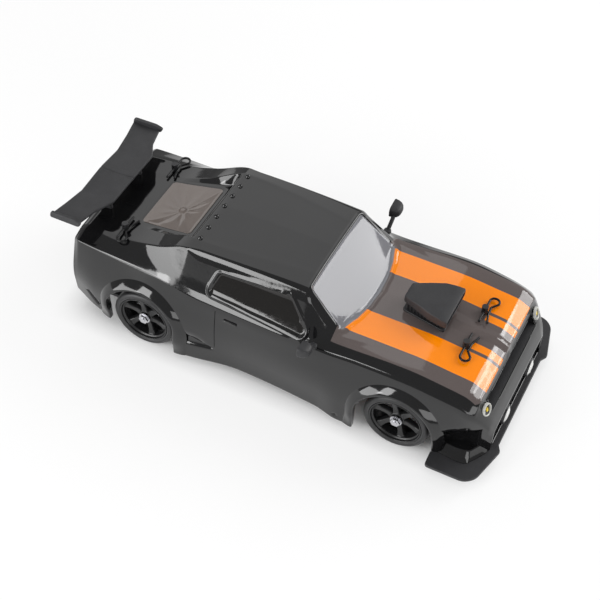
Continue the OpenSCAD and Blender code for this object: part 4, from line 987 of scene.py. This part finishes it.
mirror = {
    "half": (5.3, 3.9),
    "forward": 0.3,
    "back": -3.4,
    "glass": ((1.2, 0.1), (1.2, 0.84), (0.3, 0.88)),
    "profile": ((0.0, 1.0), (0.4, 1.02), (2.8, 0.98), (4.8, 0.86), (6.2, 0.66), (6.9, 0.4), (7.2, 0.05)),
    "squareness": 0.5,
    "tilt": 0.14,
    "foot": ((0.01, 1.5), (1.6, 1.5), (2.4, 1.0), (2.6, -0.6), (0.01, -0.6)),
    "footShift": (-0.5, -1.6, 1.2),
    "elbowShift": (0.2, 4, 3.2),
    "headShift": (-0.3, -2.5, -1.5),
    "stalkR": 1.35,
    "edge": 0.12,
}


def buildMirrors():
    c = mirror
    high = boxMm("door_mirrors")[1]
    centre = np.array([middle("door_mirrors")[0] + c["forward"], high[1] - c["half"][0],
                       high[2] - c["half"][1]])

    def ring(x, share):
        out = []
        for a in np.linspace(0, 2 * math.pi, 40, endpoint=False):
            y, z = (abs(v) ** c["squareness"] * math.copysign(half, v) * share
                    for v, half in zip((math.cos(a), math.sin(a)), c["half"]))
            out.append((centre[0] + c["back"] + x, centre[1] + y, centre[2] + z + c["tilt"] * y))
        return out

    head = lofted([ring(x, share) for x, share in c["glass"] + c["profile"]])
    skin = [float(lineAt(name, centre[0])) for name in ("shoulderY", "shoulderZ")]
    foot = np.array([centre[0], *skin]) + c["footShift"]
    path = [curve(t, foot, foot + c["elbowShift"], centre + c["headShift"]) for t in np.linspace(0, 1, 16)]
    part = joined([head, sweptWire(path, c["stalkR"], 14), turned(c["foot"], foot, "z", 28, False)])
    return solid("doorMirrors", bothSides(part), c["edge"], angle=50)


fit(buildMirrors(), finishes["mattePlastic"], "chassis", ["door_mirrors"])
print("stage: mirrors built")

# nose: lined recesses behind the two openings, slats and posts in them, corner pods of the bumper

nose = {
    "lining": 0.8,
    "grilleIn": 0.3,
    "intakeIn": 0.4,
    "slats": 3,
    "slat": {"x": (1, 4.5), "short": 9, "half": 0.55},
    "posts": (-32.5, -8.5, 8.5, 32.5),
    "intakePost": {"x": (0.5, 4.5), "half": 1},
    "grillePost": {"x": (0.5, 3.5), "half": 0.7},
    "edge": 0.25,
    "podFoot": [(115.3, 60), (130, 61.5), (137, 60.8), (144.5, 48.5), (145.6, 43), (138, 40), (115.3, 50)],
    "podTop": [(115.3, 56), (130, 56.6), (136.4, 55.4), (141.6, 46), (142.4, 42), (138, 40), (115.3, 50)],
    "podHigh": 20.5,
    "podRound": 2.4,
    "podRows": (0, 0.3, 0.6, 0.85, 1),
    "podSwell": 0.8,
    "podEdge": 0.5,
}


def recess(opening, front, frontTop):
    # five walls of an open box that faces forwards, its top edge at frontTop
    half, low, high, back = (opening[k] for k in ("half", "low", "high", "back"))
    far = [(back, -half, low), (back, half, low), (back, half, high), (back, -half, high)]
    near = [(front if z == low else frontTop, y, z) for _, y, z in far]
    faces = [[0, 1, 2, 3]] + [[k, 4 + k, 4 + (k + 1) % 4, (k + 1) % 4] for k in range(4)]
    return far + near, faces


def buildRecesses():
    grille, intake = shell["grille"], shell["intake"]
    (lowX, lowZ), (topX, topZ) = bodyLines["centreZ"][-2], lipKeys(0)[-1]
    slope = np.interp((grille["low"], grille["high"]), (lowZ, topZ), (lowX, topX)) - nose["grilleIn"]
    upright = [noseX - nose["intakeIn"]] * 2
    parts = [recess(grille, *slope), recess(intake, *upright)]
    return thicken(addMesh("noseRecesses", *joined(parts), smooth=False), nose["lining"])


def buildGrille():
    g, i, slat = shell["grille"], shell["intake"], nose["slat"]
    parts = []
    for k in range(nose["slats"]):
        z = g["low"] + (g["high"] - g["low"]) * (k + 1) / (nose["slats"] + 1)
        back, front = (g["back"] + x for x in slat["x"])
        reach = g["half"] - slat["short"]
        parts.append(block((back, -reach, z - slat["half"]), (front, reach, z + slat["half"])))
    for y in nose["posts"]:
        for opening, post in ((i, nose["intakePost"]), (g, nose["grillePost"])):
            back, front = (opening["back"] + x for x in post["x"])
            parts.append(block((back, y - post["half"], opening["low"]),
                               (front, y + post["half"], opening["high"])))
    return solid("noseGrille", joined(parts), nose["edge"], angle=35)


def buildPods():
    n = nose
    foot, top = (np.array(roundedOutline(n[k], n["podRound"])) for k in ("podFoot", "podTop"))
    rings = []
    for t in n["podRows"]:
        flat = foot + (top - foot) * t ** n["podSwell"]
        rings.append([(x, y, noseZ + (n["podHigh"] - noseZ) * t) for x, y in flat])
    return solid("bumperPods", bothSides(lofted(rings)), n["podEdge"], 3, 30)


fit(buildRecesses(), finishes["satinPlastic"])
fit(buildGrille(), finishes["satinPlastic"])
fit(buildPods(), finishes["shellGloss"])
print("stage: nose built")

# lamps: frosted driving lamps and ringed headlights. The profiles are (radius, distance forwards)

lamp = {
    "driveAt": (noseX - 2.5, 20.6),
    "lens": ((0.02, 4.4), (3.15, 4.1), (5.04, 3.3), (5.67, 2.4), (5.67, 0), (0.02, 0)),
    "bezel": ((5.544, 3.0), (5.922, 3.5), (6.3, 3.0), (6.3, -3.0), (4.41, -3.3), (4.41, -1), (5.544, 0)),
    "headAt": (lipX + 3.0, 42.2, 47.2),
    "headYaw": 8,
    "headPitch": 17,
    "ring": ((4.2, 1.6), (3.78, 2.3), (3.276, 1.8), (3.276, 0.5), (4.2, 0.3)),
    "dish": ((0.02, 0.9), (2.1, 0.8), (3.36, 0.6), (3.36, -3), (0.02, -3)),
    "chip": ((0.7, -0.9, -1.2), (1.7, 0.9, 1.2)),
    "edge": 0.12,
    "finishes": {"lampLenses": "frostedLens", "lampBezels": "satinPlastic", "headlightRings": "ringWhite",
                 "headlightDishes": "shellGloss", "headlightChips": "chipYellow"},
}


def aimed(part, centre, yaw, pitch):
    # turns a piece that faces forwards outwards and up
    a, b = math.radians(yaw), math.radians(pitch)
    turn = np.array([[math.cos(a) * math.cos(b), -math.sin(a), -math.cos(a) * math.sin(b)],
                     [math.sin(a) * math.cos(b), math.cos(a), -math.sin(a) * math.sin(b)],
                     [math.sin(b), 0, math.cos(b)]])
    return [tuple(np.array(centre) + turn @ (np.array(p) - centre)) for p in part[0]], part[1]


def buildLamps():
    c = lamp
    intake = shell["intake"]
    drive = (*c["driveAt"], (intake["low"] + intake["high"]) / 2)
    head = np.array(c["headAt"])
    parts = [turned(c["lens"], drive, "x", 48, False), turned(c["bezel"], drive, "x", 48)]
    headlight = (turned(c["ring"], head, "x", 48), turned(c["dish"], head, "x", 40, False),
                 block(*(head + corner for corner in c["chip"])))
    parts += [aimed(part, head, c["headYaw"], c["headPitch"]) for part in headlight]
    return [solid(name, bothSides(part), c["edge"]) for name, part in zip(c["finishes"], parts)]


for lampPiece in buildLamps():
    fit(lampPiece, finishes[lamp["finishes"][lampPiece.name]], "chassis", ["lamp_units"])
print("stage: lamps built")

# small trim on the shell: domed rivets along the back of the roof and door handles

trim = {
    "rivetX": -57.0,
    "rivets": 7,
    "rivetSpread": 30.9,
    "rivetR": 1.8,
    "rivetHigh": 2.1,
    "rivetSunk": 0.4,
    "rivetTip": 0.01,
    "handle": {"x": (-28, -19), "z": 50, "tall": 1.7, "sunk": 0.6, "deep": 0.9,
               "tilt": (0, -0.2, 0.1, 0.3)},
    "edge": 0.3,
}


def buildTrim():
    c = trim
    dome = [(c["rivetR"] * math.cos(a), c["rivetHigh"] * math.sin(a))
            for a in np.linspace(math.pi / 2 - c["rivetTip"], 0, 10)]
    parts = []
    for y in np.linspace(-c["rivetSpread"], c["rivetSpread"], c["rivets"]):
        at = (c["rivetX"], y, skinHeight(c["rivetX"], y) - c["rivetSunk"])
        parts.append(turned(dome, at, "z", 32, False))
    h = c["handle"]
    (x0, x1), bottom = h["x"], h["z"] - h["tall"] / 2
    y0, y1 = flankOut(x0, h["z"]), flankOut(x1, h["z"])
    base = ((x0, y0 - h["sunk"]), (x1, y1 - h["sunk"]), (x1, y1 + h["deep"]), (x0, y0 + h["deep"]))
    lower = [(x, y, bottom + tilt) for (x, y), tilt in zip(base, h["tilt"])]
    upper = [(x, y, z + h["tall"]) for x, y, z in lower]
    parts.append(bothSides(lofted([lower, upper])))
    return solid("shellTrim", joined(parts), c["edge"], 3)


# flares: a rolled lip round each wheel arch, as (distance from the arch, height off the flank)

flare = {
    "profile": ((0.9, -3), (0, -2.2), (0, 2.7), (0.3, 3.2), (0.9, 3.4), (1.9, 3.1), (3.1, 2.4), (4.3, 1.5),
                (5.4, 0.6), (6.2, -0.5)),
    "fade": 14,
    "least": 0.35,
    "steps": 72,
    "legSteps": 14,
    "tuck": {"front": 0.6, "rear": 2.4},
    "tuckRise": 13,
    "tuckOver": 3,
    "sharp": 50,
}


def archPath(axle):
    # (x, z) on the arch and the direction away from it, from one sill to the other
    r, legs = shell["archR"], []
    for turn in (-1, 1):
        x = axle + turn * r
        heights = np.linspace(float(lineAt("sillZ", x)), axleZ, flare["legSteps"], endpoint=False)
        legs.append([(x, z, turn, 0.0) for z in heights])
    bow = [(axle + r * math.cos(a), axleZ + r * math.sin(a), math.cos(a), math.sin(a))
           for a in np.linspace(math.pi, 0, flare["steps"])]
    return legs[0] + bow + legs[1][::-1]


def buildFlares():
    c = flare
    parts = []
    for end, axle in (("front", frontX), ("rear", rearX)):
        rings = []
        for x, z, outX, outZ in archPath(axle):
            # the lip closes in on the tyre beside it and stays clear above it
            tuck = c["tuck"][end] * (1 - smooth01((z - axleZ) / c["tuckRise"]))
            share = c["least"] + (1 - c["least"]) * smooth01((z - float(lineAt("sillZ", x))) / c["fade"])
            ring = []
            for away, lift in c["profile"]:
                away = away - tuck * smooth01(1 - away / c["tuckOver"])
                px, pz = x + outX * away, z + outZ * away
                ring.append((px, flankOut(px, pz) + (lift * share if lift > 0 else lift), pz))
            rings.append(ring)
        parts.append(bothSides(lofted(rings)))
    piece = outward(addMesh("archFlares", *joined(parts)))
    piece.data.set_sharp_from_angle(angle=math.radians(c["sharp"]))
    return piece


fit(buildTrim(), finishes["shellGloss"])
fit(buildFlares(), finishes["shellGloss"])
print("stage: trim built")

# body clips: bent black wire, one per post. The bends are (forwards, outwards) from the post

clip = {
    "inset": 0.6,
    "wireR": 0.74,
    "straight": [(0, -10), (0, -4), (0, 0), (0, 4), (0, 9)],
    "loopAt": (3, 9),
    "loopR": 3,
    "loopTurn": np.arange(160, -21, -20),
    "leg": [(4.4, 6), (2.65, 3.5), (2.95, 1.5), (2.95, -2), (3.65, -4.5), (4.95, -9)],
    "steps": 5,
}


def buildClip(name, sign):
    c = clip
    low, high = boxMm(name)
    loop = [(c["loopAt"][0] + c["loopR"] * math.cos(a), c["loopAt"][1] + c["loopR"] * math.sin(a))
            for a in np.radians(c["loopTurn"])]
    keys = np.array(c["straight"] + loop + c["leg"], float)
    dense = []
    for i in range(len(keys) - 1):
        a, b = keys[i], keys[i + 1]
        before, after = keys[max(i - 1, 0)], keys[min(i + 2, len(keys) - 1)]
        for t in np.linspace(0, 1, c["steps"], endpoint=False):
            dense.append(0.5 * (2 * a + (b - before) * t + (2 * before - 5 * a + 4 * b - after) * t * t
                                + (3 * a - before - 3 * b + after) * t ** 3))
    dense.append(keys[-1])
    inner = low[1] if sign > 0 else -high[1]
    atX, atY, atZ = low[0] + c["inset"], inner - c["straight"][0][1], (low[2] + high[2]) / 2
    path = [(atX + x, sign * (atY + y), atZ) for x, y in dense]
    return outward(addMesh(camel(name), *sweptWire(path, c["wireR"])))


for corner, sign in corners:
    clipName = f"{corner}_clip"
    fit(buildClip(clipName, sign), finishes["blackWire"], clipName, [clipName])
print("stage: clips built")

# wheels: smooth tyre with a sidewall step and a deep six-spoke rim.
# bead: (outside the rim, in from the face); barrel: (inside the rim, in from the face);
# spoke: (radius, half width, depth of its front, depth of its back)

wheel = {
    "rimR": 17.2,
    "shoulder": 2.6,
    "bead": ((0.05, 0.6), (0.9, 0.0), (1.3, 0.0), (1.4, 0.25), (1.7, 0.25), (1.8, 0.0)),
    "tyreSharp": 40,
    "barrel": ((0.05, 0.5), (0.5, 0.1), (1.1, 0.4), (1.3, 1.6), (2.3, 2.4), (2.3, 7.6), (1.1, 8.6)),
    "barrelBack": 0.6,
    "hub": ((1.62, 3.4), (4.4, 3.4), (5.0, 4), (5.6, 7), (5.0, 9.6), (1.62, 9.6)),
    "spokes": 6,
    "spokeTurn": 15,
    "spoke": ((3.4, 2.5, 3.6, 8.2), (7, 2.1, 4.3, 7.8), (11, 2.0, 3.9, 7.4), (14.2, 2.5, 3.1, 7.2),
              (15.5, 3.6, 2.5, 7.2)),
    "spokeFace": 0.72,
    "spokeSlope": 0.8,
    "edge": 0.25,
}


def buildTyre(centre, out, width):
    r, rim, s = tyreR, wheel["rimR"], wheel["shoulder"]
    arc = [(r - s + s * math.cos(a), s - s * math.sin(a)) for a in np.linspace(math.pi / 2, 0, 9)]
    half = [(rim + away, deep) for away, deep in wheel["bead"]] + arc
    outer = [(a, width - b) for a, b in reversed(half)]
    profile = [(a, out * (b - width / 2)) for a, b in half + outer]
    return turned(profile, centre, "y", 96)


def buildRim(centre, out, width):
    c = wheel
    face = width / 2
    barrel = [(c["rimR"] - away, face - deep) for away, deep in c["barrel"]]
    back = c["barrelBack"] - face
    barrel = [(barrel[0][0], back)] + barrel + [(barrel[-1][0], back)]
    hub = [(r, face - deep) for r, deep in c["hub"]]
    parts = [turned([(r, out * y) for r, y in profile], centre, "y", steps)
             for profile, steps in ((barrel, 96), (hub, 48))]
    for k in range(c["spokes"]):
        angle = math.radians(360 * k / c["spokes"] + c["spokeTurn"])
        away = np.array([math.cos(angle), 0, -math.sin(angle)])
        side = np.array([math.sin(angle), 0, math.cos(angle)])
        rings = []
        for r, half, front, rear in c["spoke"]:
            flat, slope = c["spokeFace"], front + c["spokeSlope"]
            edges = ((-flat, front), (flat, front), (1, slope), (1, rear), (-1, rear), (-1, slope))
            ring = []
            for share, deep in edges:
                at = np.array(centre) + away * r + side * half * share
                ring.append((at[0], centre[1] + out * (face - deep), at[2]))
            rings.append(ring)
        parts.append(lofted(rings))
    return joined(parts)


for corner, sign in corners:
    low, high = boxMm(f"{corner}_tyre")
    centre, width = (low + high) / 2, high[1] - low[1]
    tyre = outward(addMesh(camel(f"{corner}_tyre"), *buildTyre(centre, sign, width)))
    tyre.data.set_sharp_from_angle(angle=math.radians(wheel["tyreSharp"]))
    fit(tyre, finishes["hardTyre"], f"{corner}_wheel", [f"{corner}_tyre"])
    rim = solid(camel(f"{corner}_rim"), buildRim(centre, sign, width), wheel["edge"])
    fit(rim, finishes["wheelPlastic"], f"{corner}_wheel", [f"{corner}_rim"])
print("stage: wheels built")

# springs: fine coils in place of the CAD springs

spring = {"curls": 6, "wire": 0.9, "perCurl": 28, "around": 10}


def buildSpring(corner, sign):
    c = spring
    low, high = boxMm(f"{corner}_spring")
    at = (low + high) / 2
    r = (high[0] - low[0] - c["wire"]) / 2
    bottom, top = low[2] + c["wire"] / 2, high[2] - c["wire"] / 2
    path = []
    for t in np.linspace(0, 1, c["curls"] * c["perCurl"] + 1):
        a = 2 * math.pi * c["curls"] * t
        path.append((at[0] + r * math.cos(a), at[1] + sign * r * math.sin(a), bottom + (top - bottom) * t))
    piece = outward(addMesh(camel(f"{corner}_spring"), *sweptWire(path, c["wire"] / 2, c["around"])))
    piece.data.materials.append(finishes["springRed"])
    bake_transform(piece)
    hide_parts(f"{corner}_spring")


for corner, sign in corners:
    buildSpring(corner, sign)
print("stage: springs built")

# the rest of the frame keeps its CAD shape, and each node takes the finish of its name or its name's end

cadFinish = {
    "chassis_tub": "nylon", "front_bulkhead": "nylon", "gearbox_case": "nylon", "steering_link": "nylon",
    "lower_arm": "nylon", "hub_carrier": "nylon", "knuckle": "nylon", "body_posts": "satinPlastic",
    "steering_servo": "satinPlastic", "speed_controller": "satinPlastic", "upper_link": "satinPlastic",
    "tie_rod": "satinPlastic", "servo_horn": "whiteNylon", "lay_gear": "whiteNylon",
    "power_switch": "whiteNylon", "battery_pack": "shrinkWrap", "motor_can": "zinc", "motor_pinion": "brass",
    "hinge_pins": "steel", "axle": "steel", "chassis_screws": "darkSteel", "drive_spool": "darkSteel",
    "dogbone": "darkSteel",
}
for nodeName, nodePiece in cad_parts.items():
    finishName = next((finish for ending, finish in cadFinish.items() if nodeName.endswith(ending)), None)
    if finishName:
        nodePiece.data.materials.clear()
        nodePiece.data.materials.append(finishes[finishName])
print("stage: CAD pieces finished")

# studio: pale floor, soft boxes and the photograph's camera, in metres apart from floorZ

studio = {
    "floorSize": 60.0,
    "floorZ": -0.05,
    "floor": srgb(250, 250, 250),
    "floorRough": 0.9,
    "floorShine": 0.1,
    "shadowShare": 0.3,
    "underCar": {"X": 0.135, "Y": 0.05},
    "underFade": 0.018,
    "world": 0.3,
}


def paleFloor():
    c = studio
    material, tree, shader = newFinish("paleFloor")
    shader.inputs["Base Color"].default_value = c["floor"]
    shader.inputs["Roughness"].default_value = c["floorRough"]
    shader.inputs["Specular IOR Level"].default_value = c["floorShine"]
    # white to the camera and in reflections, apart from its share of shadow
    glow = addNode(tree, "ShaderNodeEmission", (("Color", (1, 1, 1, 1)), ("Strength", 1.0)))
    path = addNode(tree, "ShaderNodeLightPath").outputs
    seen = combine(tree, "ADD", path["Is Camera Ray"], path["Is Glossy Ray"])
    seen = combine(tree, "ADD", seen, path["Is Transmission Ray"], clamp=True)
    # under the car the floor's glow is dropped in a box round its footprint, a painted darkening there, so
    # the real shadow shows in full
    place = addNode(tree, "ShaderNodeSeparateXYZ", (("Vector", objectPoint(tree)),)).outputs
    under = 1.0
    for axis, reach in c["underCar"].items():
        near = between(tree, combine(tree, "ABSOLUTE", place[axis]), 1, 0, reach, reach + c["underFade"])
        under = combine(tree, "MULTIPLY", near, under)
    glowing = between(tree, under, 1 - c["shadowShare"], 0, 0, 1)
    share = combine(tree, "MULTIPLY", seen, glowing)
    links = ((0, share), (1, shader.outputs["BSDF"]), (2, glow.outputs["Emission"]))
    mix = addNode(tree, "ShaderNodeMixShader", links)
    tree.links.new(mix.outputs["Shader"], tree.nodes["Material Output"].inputs["Surface"])
    return material


def buildStudio():
    half, z = studio["floorSize"] / 2 / mm, studio["floorZ"]
    outline = [(-half, -half, z), (half, -half, z), (half, half, z), (-half, half, z)]
    floor = addMesh("floor", outline, [(0, 1, 2, 3)], smooth=False)
    floor.data.materials.append(paleFloor())
    world = bpy.data.worlds.new("studioWorld")
    bpy.context.scene.world = world
    world.use_nodes = True
    background = world.node_tree.nodes["Background"]
    background.inputs["Color"].default_value = (1, 1, 1, 1)
    background.inputs["Strength"].default_value = studio["world"]


softBoxes = {
    "overhead": {"at": (-0.98, 1.06, 1.30), "aim": (0, 0, 0.05), "size": (1.7, 1.7), "watts": 7.5},
    "screenBox": {"at": (0.83, 0.84, 0.60), "aim": (0.03, 0, 0.07), "size": (0.95, 0.6), "watts": 8.8},
    "lipBox": {"at": (0.78, 0.81, 1.0), "aim": (0.13, 0, 0.06), "size": (0.34, 0.34), "watts": 1.6},
    "shoulderStrip": {"at": (-0.46, -1.0, 0.69), "aim": (-0.1, 0, 0.07), "size": (0.34, 0.7),
                      "watts": 4.8},
    "quarterBox": {"at": (-0.89, -0.92, 0.3), "aim": (-0.07, -0.04, 0.07), "size": (0.78, 0.58),
                   "watts": 7},
    "frontBox": {"at": (0.95, -0.82, 0.36), "aim": (0.12, -0.04, 0.04), "size": (0.9, 0.4), "watts": 2.8},
    "fill": {"at": (0.1, -0.2, 1.7), "aim": (0.05, 0, 0.05), "size": (1.2, 1.2), "watts": 5.5,
             "mirrored": False},
}


def buildLights():
    for name, box in softBoxes.items():
        light = bpy.data.lights.new(name, "AREA")
        light.shape = "RECTANGLE"
        light.size, light.size_y = box["size"]
        light.energy = box["watts"]
        holder = bpy.data.objects.new(name, light)
        bpy.context.scene.collection.objects.link(holder)
        holder.visible_glossy = box.get("mirrored", True)
        holder.location = box["at"]
        toward = Vector(box["aim"]) - Vector(box["at"])
        holder.rotation_euler = toward.to_track_quat("-Z", "Y").to_euler()


camera = {
    "azimuth": 23.98,
    "elevation": 47.91,
    "roll": 3.09,
    "at": (0.23944, -0.54434, 0.68680),
    "focalPixels": 1391.99,
    "imagePixels": 600,
    "sensor": 36,
    "clip": (0.01, 50),
}


def buildCamera():
    c = camera
    a, e, r = (math.radians(c[k]) for k in ("azimuth", "elevation", "roll"))
    back = Vector((math.sin(a) * math.cos(e), -math.cos(a) * math.cos(e), math.sin(e)))
    level = Vector((math.cos(a), math.sin(a), 0))
    rise = back.cross(level)
    right = math.cos(r) * level + math.sin(r) * rise
    up = -math.sin(r) * level + math.cos(r) * rise
    data = bpy.data.cameras.new("photoCamera")
    data.sensor_width = c["sensor"]
    data.lens = c["focalPixels"] * c["sensor"] / c["imagePixels"]
    data.clip_start, data.clip_end = c["clip"]
    holder = bpy.data.objects.new("photoCamera", data)
    bpy.context.scene.collection.objects.link(holder)
    turn = Matrix((right, up, back)).transposed().to_4x4()
    holder.matrix_world = Matrix.Translation(c["at"]) @ turn
    bpy.context.scene.camera = holder


buildStudio()
buildLights()
buildCamera()
bpy.context.scene.view_settings.view_transform = "Standard"
print("stage: studio ready")
